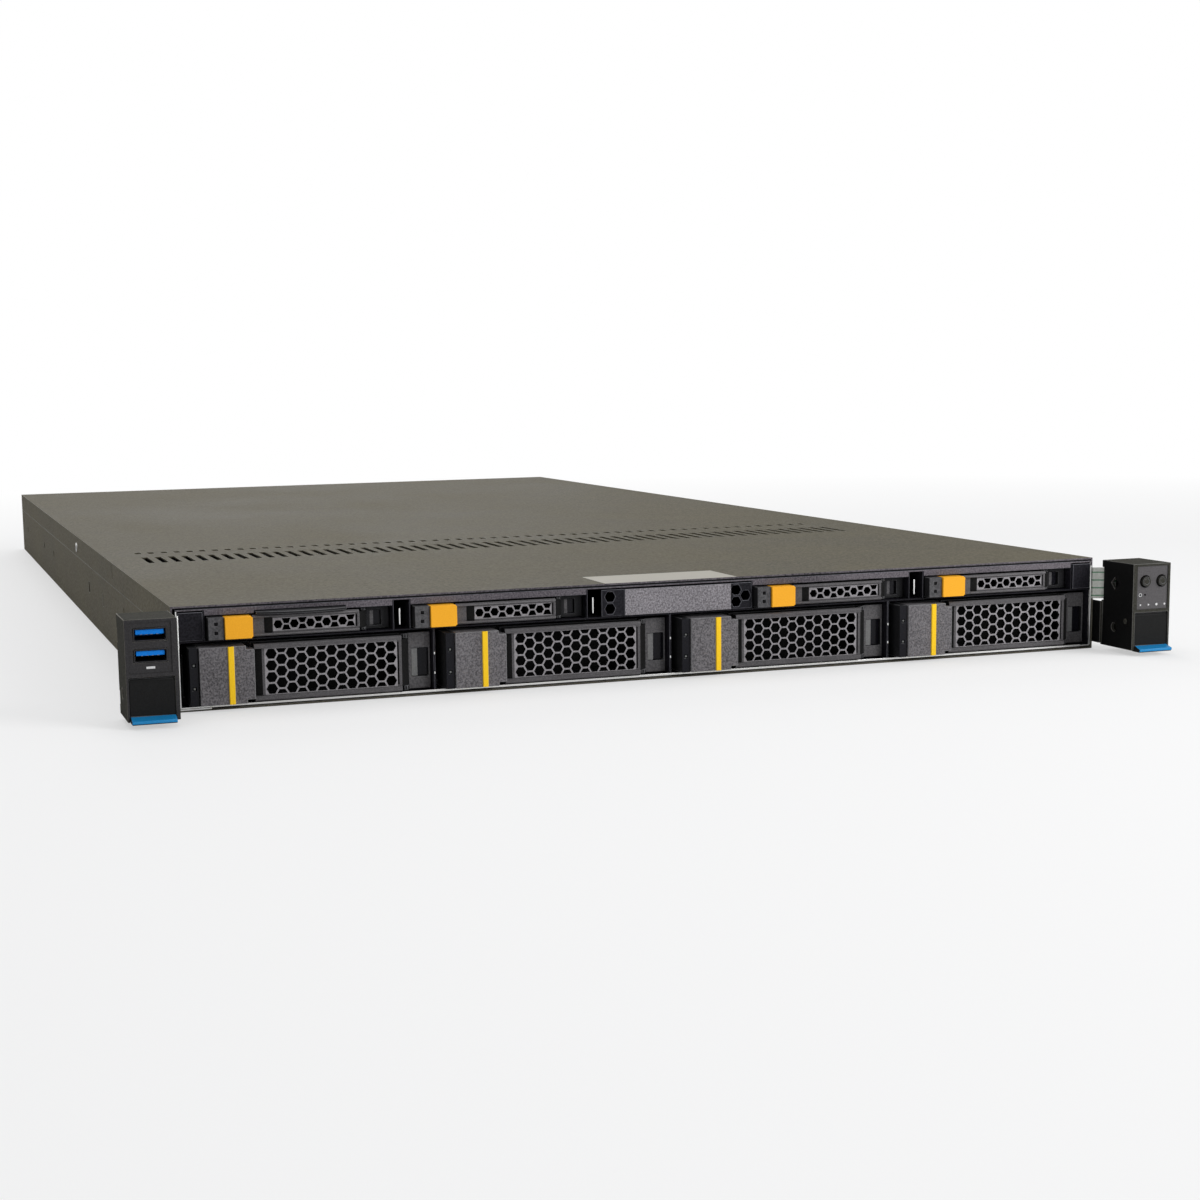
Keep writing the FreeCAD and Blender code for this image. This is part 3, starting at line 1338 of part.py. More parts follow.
def left_ear():
    """Mirrored ear with two openings for its USB sockets."""
    openings = [box(("-usb_x - usb_width / 2 - usb_cut_gap", "-usb_x + usb_width / 2 + usb_cut_gap"),
                    (PANEL[0], f"{PANEL[0]} + {PANEL[1]}"),
                    (f"{z} - usb_height / 2 - usb_cut_gap", f"{z} + usb_height / 2 + usb_cut_gap"))
                for z in ("usb_upper", "usb_lower")]
    return cut(mirror_x(ear_shell()), *openings)


def right_ear():
    """Ear with two round button holes and the reset pinhole."""
    tools = [prism("y", HUB_SIDES, radius, (x, PANEL[0], z), PANEL[1]) for radius, x, z in (
        ("round_button_radius + round_button_gap", "id_button_x", "round_button_height"),
        ("round_button_radius + round_button_gap", "power_button_x", "round_button_height"),
        ("reset_radius", "id_button_x", "reset_height"))]
    return cut(ear_shell(), *tools)


def ear_latch():
    """Spring flap over the captive rack screw, with a lip for the finger at its lower edge."""
    front = s.flap_recess - s.ear_front
    back, tip = front + s.flap_thick, -s.ear_front - s.lip_reach
    outline = [(back, s.lip_low), (back, s.flap_top), (front + s.flap_chamfer, s.flap_top),
               (front, s.flap_top - s.flap_chamfer), (front, s.lip_high + s.lip_bevel),
               (tip, s.lip_high - s.lip_bevel), (tip, s.lip_low + s.lip_bevel),
               (tip + s.lip_bevel, s.lip_low)]
    inner, outer = "ear_in + ear_inner_wall + flap_gap", "ear_out - ear_outer_wall - flap_gap"
    flap = plate("side", (inner, outer), outline)
    pivot = prism("x", ROUND_SIDES, "flap_pivot_radius", (inner, "flap_pin_y", "flap_pin_height"),
                  f"({outer}) - ({inner})")
    return fuse(flap, pivot)


def usb_ports():
    return group([usb_socket("(-usb_x)", "(usb_recess - ear_front)", z, -1)
                  for z in ("usb_upper", "usb_lower")])


def round_button():
    """Push button with a dished face, on the Y axis; its collar keeps it behind the panel."""
    front = "(-round_button_proud)"
    cap = prism("y", HUB_SIDES, "round_button_radius", ("0", front, "0"),
                "round_button_proud + round_button_depth")
    dish = prism("y", HUB_SIDES, "round_dish_radius", ("0", f"{front} - {OVER}", "0"),
                 f"round_dish_depth + {OVER}")
    collar = prism("y", HUB_SIDES, "round_button_radius + round_collar",
                   ("0", "ear_face + round_collar_gap", "0"), "round_collar_thick")
    return fuse(cut(cap, dish), collar)


def ear_ribbons():
    """Flat cable from each ear, in front of the chassis wall and back beside the cage to its plug."""
    half = s.ribbon_thick / 2
    line = s.wall_in - s.cable_gap / 2
    inside = s.ear_in + s.ear_inner_wall + s.ribbon_inset
    path = [(inside + s.ribbon_hook, -s.ear_back - s.ribbon_hook_back),
            (inside, -s.ear_back - s.ribbon_bend),
            (inside - s.ribbon_ease, -s.ear_back + s.ribbon_mouth),
            (s.half_width + s.ribbon_clear, -s.ribbon_front),
            (line + s.ribbon_sway, -s.ribbon_turn), (line, s.ribbon_entry), (line, s.ribbon_end)]
    left_side, right_side = [], []
    for index, (u, v) in enumerate(path):
        before, after = path[max(index - 1, 0)], path[min(index + 1, len(path) - 1)]
        heading = math.atan2(after[1] - before[1], after[0] - before[0])
        across, along = -math.sin(heading) * half, math.cos(heading) * half
        left_side.append((u + across, v + along))
        right_side.append((u - across, v - along))
    strip = plate("top", ("ribbon_low", "ribbon_high"), left_side + right_side[::-1])
    plug = box(("cage_out + ribbon_plug_gap", "wall_in - ribbon_plug_gap"),
               (f"ribbon_end - {LAP}", "ribbon_end + ribbon_plug"), ("ribbon_low", "ribbon_high"))
    cable = fuse(strip, plug)
    return group([cable, mirror_x(cable)])


# ---------------------------------------------------------------- assembly

def assemble():
    node("chassis_base", chassis_base())
    node("front_cover", front_cover())
    node("rear_cover", rear_cover())
    node("cover_screws", cover_screws())
    node("drive_cage", drive_cage())
    node("upper_blanks", upper_blanks())
    node("pull_tag", pull_tag())
    masters = {f"{kind}_{part.__name__}": part(kind)
               for kind in ("large", "slim") for part in (tray, lever, button)}
    masters["slim_tray"] = group([masters["slim_tray"], slim_drive()])
    disk = large_drive()
    for index in range(4):
        left = {"large": f"({index} - 2) * large_pitch + divider / 2 + large_left_gap",
                "slim": slim_left(index)}
        for name, master in masters.items():
            kind = name.split("_")[0]
            node(f"{name}_{index + 1}", copy_of(master), left[kind], "0", f"{kind}_z")
        node(f"large_drive_{index + 1}", copy_of(disk), f"{left['large']} + large_drive_x",
             "large_drive_start", "large_z + large_drive_z")
    node("drive_backplane", drive_backplane())
    node("fan_housings", group([fan_housing(index) for index in range(FANS)]))
    rotor = fan_rotor()
    for index in range(FANS):
        node(f"fan_rotor_{index + 1}", copy_of(rotor), fan_x(index), "fan_rotor_start", "fan_mid_z")
    node("motherboard", motherboard())
    node("heatsinks", group([heatsink(side) for side in (-1, 1)]))
    node("memory_modules", memory_modules())
    supply, tab = power_supply(), psu_latch()
    for name, x in (("1", "psu_left_x"), ("2", "psu_right_x")):
        node("psu_" + name, copy_of(supply), x, "psu_y", "psu_z")
        node("psu_latch_" + name, copy_of(tab), f"{x} + psu_latch_x", "chassis_depth", "psu_z + psu_latch_z")
    node("rear_wall", group([rear_wall(), slot_bracket()]))
    node("rear_ports", rear_ports())
    node("left_ear", left_ear())
    node("right_ear", right_ear())
    latch = ear_latch()
    node("left_ear_latch", mirror_x(latch))
    node("right_ear_latch", copy_of(latch))
    node("usb_ports", usb_ports())
    push = round_button()
    node("power_button", copy_of(push), "power_button_x", "-ear_front", "round_button_height")
    node("id_button", copy_of(push), "id_button_x", "-ear_front", "round_button_height")
    node("ear_ribbons", ear_ribbons())


def check_and_write():
    """Stops on any failed feature, then writes one STEP file for each sub-part."""
    doc.recompute()
    failed = [item.Name for item in doc.Objects if "Invalid" in item.State or "Error" in item.State]
    if failed:
        raise SystemExit("failed features: " + ", ".join(failed))
    os.makedirs("parts", exist_ok=True)
    for label, item in NODES.items():
        shape = item.Shape
        if shape.isNull() or not shape.isValid() or not shape.Solids:
            raise SystemExit("bad shape: " + label)
        shape.exportStep(os.path.join("parts", label + ".step"))
        print(f"{label}: {len(shape.Solids)} solids, {shape.Volume:.0f} mm3")


assemble()
check_and_write()
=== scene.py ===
# %% [markdown]
# # A 1U rack server, dressed from its fixed metal frame
# The object is a flat rack server: a folded sheet steel chassis with two covers, eight drive trays
# at its front, a handle ear at each side, six fans, a main board and two power supplies inside.
# Every rigid form comes from the frame model. This lesson gives those forms their rounded edges,
# their finishes and the small parts that are too fine for the frame.

# %% Load the frame
import json
import math

import bmesh
import bpy
from mathutils import Matrix, Vector


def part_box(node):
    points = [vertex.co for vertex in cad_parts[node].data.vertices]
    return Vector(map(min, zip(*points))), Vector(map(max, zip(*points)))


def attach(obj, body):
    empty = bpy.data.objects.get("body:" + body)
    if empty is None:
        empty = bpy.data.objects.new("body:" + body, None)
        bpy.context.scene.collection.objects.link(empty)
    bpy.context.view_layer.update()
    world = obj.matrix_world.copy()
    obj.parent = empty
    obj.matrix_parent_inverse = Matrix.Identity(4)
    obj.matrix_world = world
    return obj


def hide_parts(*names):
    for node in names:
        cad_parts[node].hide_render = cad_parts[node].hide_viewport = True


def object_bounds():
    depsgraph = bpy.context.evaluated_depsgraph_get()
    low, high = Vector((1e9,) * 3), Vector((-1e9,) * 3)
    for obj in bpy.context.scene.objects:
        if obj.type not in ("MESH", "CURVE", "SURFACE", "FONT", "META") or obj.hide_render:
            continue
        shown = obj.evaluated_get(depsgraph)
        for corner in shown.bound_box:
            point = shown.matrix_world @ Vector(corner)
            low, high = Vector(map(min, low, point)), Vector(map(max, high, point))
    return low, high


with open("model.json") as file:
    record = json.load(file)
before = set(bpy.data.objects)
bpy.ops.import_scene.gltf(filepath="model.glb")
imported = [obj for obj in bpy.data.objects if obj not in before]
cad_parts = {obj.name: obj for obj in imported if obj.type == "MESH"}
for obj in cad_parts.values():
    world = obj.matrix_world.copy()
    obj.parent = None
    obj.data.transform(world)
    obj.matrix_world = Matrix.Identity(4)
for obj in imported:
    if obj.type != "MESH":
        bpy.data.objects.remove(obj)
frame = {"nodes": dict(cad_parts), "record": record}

cad_low, cad_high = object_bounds()
NODES = frame["nodes"]
BODY_OF = {n: b for b, members in frame["record"]["behaviour"]["bodies"].items() for n in members}

# %% [markdown]
# ## Small helpers for measures
# Rack hardware is dimensioned in millimetres and Blender works in metres, so every place below is
# written in millimetres and goes through `mm`. A box of a node is read once with `span`.

# %% Measures


def mm(*values):
    """Millimetres as a Blender vector, or as one number in metres."""
    return Vector(values) * 0.001 if len(values) > 1 else values[0] * 0.001


def span(node):
    """The lowest and highest corner of a node at rest, in millimetres."""
    low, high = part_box(node)
    return low * 1000, high * 1000


print("front left tray spans", *span("large_tray_1"))

# %% [markdown]
# ## The camera
# The server is seen from its front left and a little above, with a lens of normal length. Its
# turn is given as three angles: about the vertical, the tilt up from straight down, and a slight
# roll. The shift moves the picture across the sensor, as a view camera does, and stays small.

# %% Camera
camera_data = bpy.data.cameras.new("front_camera")
camera_data.lens = 58.218
camera_data.sensor_width = 36.0
camera_data.shift_x = 0.04888
camera_data.shift_y = 0.04260
camera_data.clip_start = 0.05
camera_data.clip_end = 60.0
camera = bpy.data.objects.new("front_camera", camera_data)
bpy.context.scene.collection.objects.link(camera)
TURN, TILT, ROLL = -18.834, 81.702, -0.890
aim = (Matrix.Rotation(math.radians(TURN), 4, "Z")
       @ Matrix.Rotation(math.radians(TILT), 4, "X")
       @ Matrix.Rotation(math.radians(ROLL), 4, "Z"))
STAND = mm(-329.10, -787.58, 137.14)
camera.matrix_world = Matrix.Translation(STAND) @ aim
bpy.context.scene.camera = camera
print("camera stands", round((STAND - mm(0, 0, 20)).length, 3), "m from the front")

# %% [markdown]
# ## Floor, backdrop and light
# A product table: a pale floor that keeps the soft shadow of the server, and a white surround.
# The surround could be lit until it burns out, but that would also bleach the object, so only what
# the camera and the reflections see of it is white. The floor is half white glow to the camera,
# which keeps it pale and leaves the shadow, and it fades into the surround far from the server.
# Three large soft lamps shape the metal: one in front at the right, one above, one behind.

# %% Helpers for shader trees
bpy.context.scene.view_settings.view_transform = "Standard"


def new_material(name):
    """An empty material and its shader."""
    material = bpy.data.materials.new(name)
    material.use_nodes = True
    return material, material.node_tree, material.node_tree.nodes["Principled BSDF"]


def wire(tree, *links):
    """Join nodes: each link is a node, its output, the next node and its input."""
    for source, output, target, entry in links:
        tree.links.new(source.outputs[output], target.inputs[entry])


def add(tree, kind, **settings):
    """A node with its settings, and with its inputs where a setting names one."""
    node = tree.nodes.new(kind)
    for key, value in settings.items():
        if hasattr(node, key):
            setattr(node, key, value)
        else:
            node.inputs[key.replace("_", " ")].default_value = value
    return node


print("view transform:", bpy.context.scene.view_settings.view_transform)

# %% Floor
FLOOR_HALF, FLOOR_GAP = 14.0, 0.0002
floor_mesh = bpy.data.meshes.new("studio_floor")
corners = [(FLOOR_HALF * x, FLOOR_HALF * y, 0) for x, y in ((-1, -1), (1, -1), (1, 1), (-1, 1))]
floor_mesh.from_pydata(corners, [], [(0, 1, 2, 3)])
floor_mesh.transform(Matrix.Translation((0, 0, cad_low.z - FLOOR_GAP)))
floor = bpy.data.objects.new("studio_floor", floor_mesh)
bpy.context.scene.collection.objects.link(floor)
floor_paint, tree, shader = new_material("pale_floor")
shader.inputs["Base Color"].default_value = (0.93, 0.93, 0.93, 1)
shader.inputs["Roughness"].default_value = 0.85
shader.inputs["Specular IOR Level"].default_value = 0.15
place = add(tree, "ShaderNodeTexCoord")
away = add(tree, "ShaderNodeVectorMath", operation="LENGTH")
fade = add(tree, "ShaderNodeMapRange", From_Min=0.75, From_Max=1.6, To_Min=0.5)
path = add(tree, "ShaderNodeLightPath")
seen = add(tree, "ShaderNodeMath", operation="MULTIPLY")
glow = add(tree, "ShaderNodeEmission", Color=(1, 1, 1, 1), Strength=1.0)
blend = add(tree, "ShaderNodeMixShader")
out = tree.nodes["Material Output"]
wire(tree, (place, "Object", away, 0), (away, "Value", fade, "Value"), (fade, "Result", seen, 0),
     (path, "Is Camera Ray", seen, 1), (seen, 0, blend, 0), (shader, 0, blend, 1),
     (glow, 0, blend, 2), (blend, 0, out, "Surface"))
floor_mesh.materials.append(floor_paint)
print("floor is", 2 * FLOOR_HALF, "m wide")

# %% Surround
world = bpy.data.worlds.new("studio")
bpy.context.scene.world = world
world.use_nodes = True
tree = world.node_tree
tree.nodes.clear()
path = add(tree, "ShaderNodeLightPath")
either = add(tree, "ShaderNodeMath", operation="MAXIMUM")
clear = add(tree, "ShaderNodeMath", operation="MAXIMUM")
dim = add(tree, "ShaderNodeBackground", Color=(0.97, 0.98, 1.0, 1), Strength=0.40)
white = add(tree, "ShaderNodeBackground", Color=(1, 1, 1, 1), Strength=1.0)
blend = add(tree, "ShaderNodeMixShader")
out = add(tree, "ShaderNodeOutputWorld")
wire(tree, (path, "Is Camera Ray", either, 0), (path, "Is Glossy Ray", either, 1),
     (either, 0, clear, 0), (path, "Is Transmission Ray", clear, 1), (clear, 0, blend, 0),
     (dim, 0, blend, 1), (white, 0, blend, 2), (blend, 0, out, "Surface"))
print("surround:", world.name)

# %% Lamps


def soft_lamp(name, at, towards, size, power):
    """A square lamp that faces a point."""
    data = bpy.data.lights.new(name, "AREA")
    data.size = size
    data.energy = power
    lamp = bpy.data.objects.new(name, data)
    lamp.location = at
    lamp.rotation_euler = (Vector(towards) - Vector(at)).to_track_quat("-Z", "Y").to_euler()
    bpy.context.scene.collection.objects.link(lamp)
    return lamp


soft_lamp("key_lamp", (0.95, -1.0, 0.60), (0.08, 0.0, 0), 0.8, 14)
soft_lamp("top_lamp", (-0.2, 0.9, 2.4), (0, 0.4, 0), 1.8, 17)
soft_lamp("back_lamp", (0.4, 3.0, 1.2), (0, 0.6, 0), 1.4, 14)
print("lamps:", [lamp.name for lamp in bpy.data.lights])

# %% [markdown]
# ## Shared effects
# Four effects serve the finishes below. Each is one shader node group with its own inputs:
# a **speckle** for powder coat and spark-eroded moulds, a **haze** of handling marks and dust,
# **brush lines** for rolled steel, and a **zone** that is 1 inside a box, to colour part of a
# piece. A group gives out only values, and the Principled shader stays in the material.

# %% A helper for shader groups


def group(name, inputs, outputs):
    """A shader node group with float inputs and outputs."""
    tree = bpy.data.node_groups.new(name, "ShaderNodeTree")
    for label, kind, value in inputs:
        socket = tree.interface.new_socket(label, in_out="INPUT", socket_type=kind)
        socket.default_value = value
    for label in outputs:
        tree.interface.new_socket(label, in_out="OUTPUT", socket_type="NodeSocketFloat")
    return tree, tree.nodes.new("NodeGroupInput"), tree.nodes.new("NodeGroupOutput")


FLOAT, VECTOR = "NodeSocketFloat", "NodeSocketVector"
print("groups put out", FLOAT)

# %% Speckle
speckle, enter, leave = group("speckle", [("Grain", FLOAT, 2500.0), ("Relief", FLOAT, 1.0)],
                              ["Height", "Tone"])
where = add(speckle, "ShaderNodeTexCoord")
fine = add(speckle, "ShaderNodeTexNoise", Detail=2.0, Roughness=0.6)
cells = add(speckle, "ShaderNodeTexVoronoi", feature="F1")
rise = add(speckle, "ShaderNodeMath", operation="MULTIPLY")
both = add(speckle, "ShaderNodeMath", operation="ADD")
sharper = add(speckle, "ShaderNodeMapRange", From_Min=0.36, From_Max=0.64)
wire(speckle, (where, "Object", fine, "Vector"), (where, "Object", cells, "Vector"),
     (enter, "Grain", fine, "Scale"), (enter, "Grain", cells, "Scale"), (fine, "Fac", both, 0),
     (cells, "Distance", both, 1), (both, 0, rise, 0), (enter, "Relief", rise, 1),
     (rise, 0, leave, "Height"), (fine, "Fac", sharper, "Value"),
     (sharper, "Result", leave, "Tone"))
print(speckle.name, "has", len(speckle.nodes), "nodes")

# %% Haze
haze, enter, leave = group("haze", [("Spread", FLOAT, 9.0), ("Low", FLOAT, 0.0), ("High", FLOAT, 1.0)],
                           ["Mask"])
where = add(haze, "ShaderNodeTexCoord")
cloud = add(haze, "ShaderNodeTexNoise", Detail=5.0, Roughness=0.65, Distortion=0.4)
level = add(haze, "ShaderNodeMapRange", From_Min=0.3, From_Max=0.7)
wire(haze, (where, "Object", cloud, "Vector"), (enter, "Spread", cloud, "Scale"),
     (cloud, "Fac", level, "Value"), (enter, "Low", level, "To Min"),
     (enter, "High", level, "To Max"), (level, "Result", leave, "Mask"))
print(haze.name, "has", len(haze.nodes), "nodes")

# %% Brush lines
brushed, enter, leave = group("brush_lines", [("Lines", FLOAT, 900.0), ("Stretch", FLOAT, 0.02)],
                              ["Height", "Tone"])
where = add(brushed, "ShaderNodeTexCoord")
pull = add(brushed, "ShaderNodeCombineXYZ", X=1.0, Y=1.0, Z=1.0)
scaled = add(brushed, "ShaderNodeVectorMath", operation="MULTIPLY")
lines = add(brushed, "ShaderNodeTexNoise", Detail=3.0)
wire(brushed, (enter, "Stretch", pull, "X"), (where, "Object", scaled, 0), (pull, 0, scaled, 1),
     (scaled, 0, lines, "Vector"), (enter, "Lines", lines, "Scale"),
     (lines, "Fac", leave, "Height"), (lines, "Fac", leave, "Tone"))
print(brushed.name, "has", len(brushed.nodes), "nodes")

# %% Zone
zone, enter, leave = group("zone", [("Low", VECTOR, (0, 0, 0)), ("High", VECTOR, (1, 1, 1))], ["Mask"])
where = add(zone, "ShaderNodeTexCoord")
above = add(zone, "ShaderNodeVectorMath", operation="SUBTRACT")
below = add(zone, "ShaderNodeVectorMath", operation="SUBTRACT")
least = add(zone, "ShaderNodeVectorMath", operation="MINIMUM")
split = add(zone, "ShaderNodeSeparateXYZ")
pair = add(zone, "ShaderNodeMath", operation="MINIMUM")
least_all = add(zone, "ShaderNodeMath", operation="MINIMUM")
inside = add(zone, "ShaderNodeMath", operation="GREATER_THAN")
inside.inputs[1].default_value = 0.0
wire(zone, (where, "Object", above, 0), (enter, "Low", above, 1), (enter, "High", below, 0),
     (where, "Object", below, 1), (above, 0, least, 0), (below, 0, least, 1), (least, 0, split, 0),
     (split, "X", pair, 0), (split, "Y", pair, 1), (pair, 0, least_all, 0),
     (split, "Z", least_all, 1), (least_all, 0, inside, 0), (inside, 0, leave, "Mask"))
print("shared effects:", [g.name for g in bpy.data.node_groups])

# %% [markdown]
# ## Finishes
# `finish` builds one material: a dark and a light tone of the same colour, mixed by the speckle
# and the haze, with the speckle as relief and the haze as uneven gloss. The real server has few
# materials: warm grey powder coat outside, black spark-eroded plastic, bare rolled steel, orange
# and blue touch points. They differ in tone, grain size and gloss, so they share this recipe.

# %% The finish recipe
HAZE_SHARE = 0.45


def finish(name, dark, light, grain=2500, relief=0.00003, rough=(0.45, 0.6), metal=0.0, spread=9.0,
           lines=False, gloss=0.5, coat=0.0):
    """A finish from two tones, the size and depth of its grain, and its range of roughness."""
    material, tree, shader = new_material(name)
    marks = add(tree, "ShaderNodeGroup", node_tree=brushed if lines else speckle)
    marks.inputs["Lines" if lines else "Grain"].default_value = grain
    dust = add(tree, "ShaderNodeGroup", node_tree=haze, Spread=spread)
    tones = add(tree, "ShaderNodeMix", data_type="RGBA")
    tones.inputs[6].default_value = (*dark, 1)
    tones.inputs[7].default_value = (*light, 1)
    mean = add(tree, "ShaderNodeMath", operation="MULTIPLY_ADD")
    mean.inputs[1].default_value = HAZE_SHARE
    soft = add(tree, "ShaderNodeMath", operation="MULTIPLY")
    soft.inputs[1].default_value = 1 - HAZE_SHARE
    matt = add(tree, "ShaderNodeMapRange", To_Min=rough[0], To_Max=rough[1])
    bump = add(tree, "ShaderNodeBump", Strength=0.6, Distance=relief)
    wire(tree, (marks, "Tone", soft, 0), (dust, "Mask", mean, 0), (soft, 0, mean, 2),
         (mean, 0, tones, 0), (tones, 2, shader, "Base Color"), (dust, "Mask", matt, "Value"),
         (matt, "Result", shader, "Roughness"), (marks, "Height", bump, "Height"),
         (bump, "Normal", shader, "Normal"))
    shader.inputs["Metallic"].default_value = metal
    shader.inputs["Specular IOR Level"].default_value = gloss
    shader.inputs["Coat Weight"].default_value = coat
    return material


print("a finish mixes", speckle.name, "and", haze.name)

# %% Painted and bare sheet steel
COAT = finish("powder_coat", (0.053, 0.048, 0.033), (0.148, 0.133, 0.095), grain=750, relief=0.00016,
              rough=(0.62, 0.75), gloss=0.06)
# Lighter tone for bends and edges: wear and a painted highlight.
COAT_EDGE_WEAR_AND_HIGHLIGHT = finish("powder_coat_bend_wear_and_highlight", (0.12, 0.113, 0.094), (0.22, 0.208, 0.178), grain=1100,
                   relief=0.00004, rough=(0.5, 0.65), gloss=0.12)
# Painted highlight: a speckled purple grey for the thin front edges of the cover and of the cage roof.
LIP_HIGHLIGHT = finish("cover_lip_painted_highlight", (0.030, 0.026, 0.032), (0.20, 0.18, 0.20), grain=1300,
                   relief=0.00010, gloss=0.1)
CAGE = finish("cage_paint", (0.003, 0.003, 0.004), (0.024, 0.023, 0.029), grain=1100, rough=(0.3, 0.45),
              relief=0.00006, gloss=0.06)
# Lighter tone for the cage's edges: wear and a painted highlight.
CAGE_EDGE_WEAR_AND_HIGHLIGHT = finish("cage_paint_edge_wear_and_highlight", (0.07, 0.07, 0.08), (0.16, 0.16, 0.18), grain=1300, gloss=0.1)
STEEL = finish("bare_steel", (0.62, 0.62, 0.61), (0.86, 0.86, 0.85), grain=700, metal=1.0,
               rough=(0.22, 0.36), lines=True, relief=0.00001)
PLATED = finish("plated_steel", (0.40, 0.40, 0.39), (0.62, 0.62, 0.61), grain=500, metal=1.0,
                rough=(0.28, 0.42), lines=True, relief=0.00001)
print(len(bpy.data.materials), "materials after the sheet steel")

# %% Plastics of the drive trays
TRAY = finish("tray_plastic", (0.010, 0.010, 0.011), (0.026, 0.026, 0.028), grain=1800, gloss=0.08)
# Lighter tone for the trays' edges: wear and a painted highlight.
TRAY_EDGE_WEAR_AND_HIGHLIGHT = finish("tray_plastic_edge_wear_and_highlight", (0.08, 0.08, 0.085), (0.15, 0.15, 0.155), grain=1800, gloss=0.1)
BLOCK = finish("tray_block_plastic", (0.055, 0.053, 0.055), (0.14, 0.135, 0.14), grain=1200, gloss=0.08)
LEVER = finish("lever_plastic", (0.058, 0.055, 0.058), (0.125, 0.12, 0.125), grain=1900,
               rough=(0.45, 0.6), gloss=0.12)
# Lighter tone for the levers' edges: wear and a painted highlight.
LEVER_EDGE_WEAR_AND_HIGHLIGHT = finish("lever_plastic_edge_wear_and_highlight", (0.18, 0.175, 0.18), (0.28, 0.27, 0.28), grain=1900, gloss=0.15)
# Painted highlight: the net between a lever's holes, paler because its edges catch the light.
NET_HIGHLIGHT = finish("lever_net_painted_highlight", (0.20, 0.19, 0.20), (0.36, 0.345, 0.36), grain=1500, gloss=0.12)
# Painted shade: near black for a lever's hinge end, the walls of its holes, its back and the wedge beside its
# honeycomb.
LEVER_SHADE = finish("lever_painted_shade", (0.006, 0.006, 0.006), (0.016, 0.016, 0.016), grain=1900,
                    gloss=0.05)
STRIP = finish("strip_grey", (0.035, 0.035, 0.037), (0.12, 0.118, 0.124), grain=1100, gloss=0.1)
BUTTON = finish("eroded_plastic", (0.040, 0.037, 0.040), (0.235, 0.224, 0.235), grain=1250, relief=0.00018,
                rough=(0.5, 0.7), gloss=0.1)
# Lighter tone for the buttons' edges: wear and a painted highlight.
BUTTON_EDGE_WEAR_AND_HIGHLIGHT = finish("eroded_plastic_edge_wear_and_highlight", (0.14, 0.14, 0.145), (0.27, 0.27, 0.275), grain=1100, gloss=0.15)
YELLOW = finish("stripe_yellow", (0.93, 0.54, 0.012), (1.0, 0.66, 0.02), grain=2200, gloss=0.15)
ORANGE = finish("latch_orange", (0.86, 0.37, 0.012), (0.99, 0.47, 0.022), grain=2200, gloss=0.2)
BLUE = finish("touch_blue", (0.008, 0.19, 0.45), (0.013, 0.27, 0.60), grain=2200, rough=(0.3, 0.42),
              gloss=0.3)
TONGUE = finish("tongue_blue", (0.0, 0.14, 0.56), (0.003, 0.23, 0.80), grain=2200, rough=(0.3, 0.42),
                gloss=0.15)
print(len(bpy.data.materials), "materials after the trays")

# %% Finishes of the ears and blanks
EAR = finish("ear_paint", (0.024, 0.024, 0.020), (0.066, 0.064, 0.055), grain=1300, relief=0.00006,
             rough=(0.7, 0.85), gloss=0.015)
# Lighter tone for the ears' edges: wear and a painted highlight.
EAR_EDGE_WEAR_AND_HIGHLIGHT = finish("ear_paint_edge_wear_and_highlight", (0.09, 0.088, 0.082), (0.16, 0.157, 0.148), grain=1500, gloss=0.12)
# Near black: painted shade for the ears' inner sides and the screw recesses, and the dark rings round the
# push buttons.
EAR_BLACK_AND_SHADE = finish("ear_black_and_painted_shade", (0.003, 0.003, 0.003), (0.009, 0.009, 0.009), grain=1700, gloss=0.03)
PANEL = finish("ear_panel", (0.065, 0.061, 0.064), (0.115, 0.11, 0.113), grain=1600, gloss=0.1)
# Painted shade: a darker copy of the ear panel finish for the left ear, which gets less light.
PANEL_IN_SHADE = finish("ear_panel_painted_shade", (0.022, 0.021, 0.022), (0.052, 0.050, 0.052), grain=1600, gloss=0.08)
FLAP = finish("flap_plastic", (0.008, 0.008, 0.008), (0.017, 0.017, 0.017), grain=2600, gloss=0.06)
BLANK = finish("blank_plastic", (0.038, 0.035, 0.039), (0.37, 0.35, 0.375), grain=1250, relief=0.00020,
               rough=(0.5, 0.7), gloss=0.1)
print(len(bpy.data.materials), "materials after the ears")

# %% Finishes of inner and rear parts
FAN = finish("fan_black", (0.012, 0.012, 0.013), (0.028, 0.028, 0.030), grain=1500, gloss=0.15)
SINK = finish("sink_aluminium", (0.55, 0.56, 0.57), (0.78, 0.79, 0.80), grain=600, metal=1.0,
              rough=(0.25, 0.4), lines=True, relief=0.00001)
GOLD = finish("contact_gold", (0.72, 0.50, 0.18), (0.88, 0.66, 0.28), grain=700, metal=1.0, rough=(0.2, 0.3),
              lines=True, relief=0.00001)
BLACK = finish("socket_black", (0.004, 0.004, 0.005), (0.010, 0.010, 0.011), grain=1500, gloss=0.05)
GLASS = finish("window_black", (0.004, 0.004, 0.006), (0.010, 0.010, 0.014), grain=1500, rough=(0.08, 0.16),
               gloss=0.15)
LABEL = finish("label_grey", (0.13, 0.13, 0.13), (0.20, 0.20, 0.20), grain=1500, gloss=0.15)
PRINT = finish("printed_mark", (0.55, 0.55, 0.55), (0.75, 0.75, 0.75), grain=1500, gloss=0.2)
LENS = finish("light_pipe", (0.10, 0.105, 0.10), (0.17, 0.175, 0.17), grain=1500, rough=(0.15, 0.25))
CHIP = finish("chip_resin", (0.012, 0.012, 0.012), (0.022, 0.022, 0.022), grain=1700, gloss=0.2)
SOCKET = finish("socket_ivory", (0.42, 0.40, 0.34), (0.60, 0.58, 0.50), grain=1700, gloss=0.35)
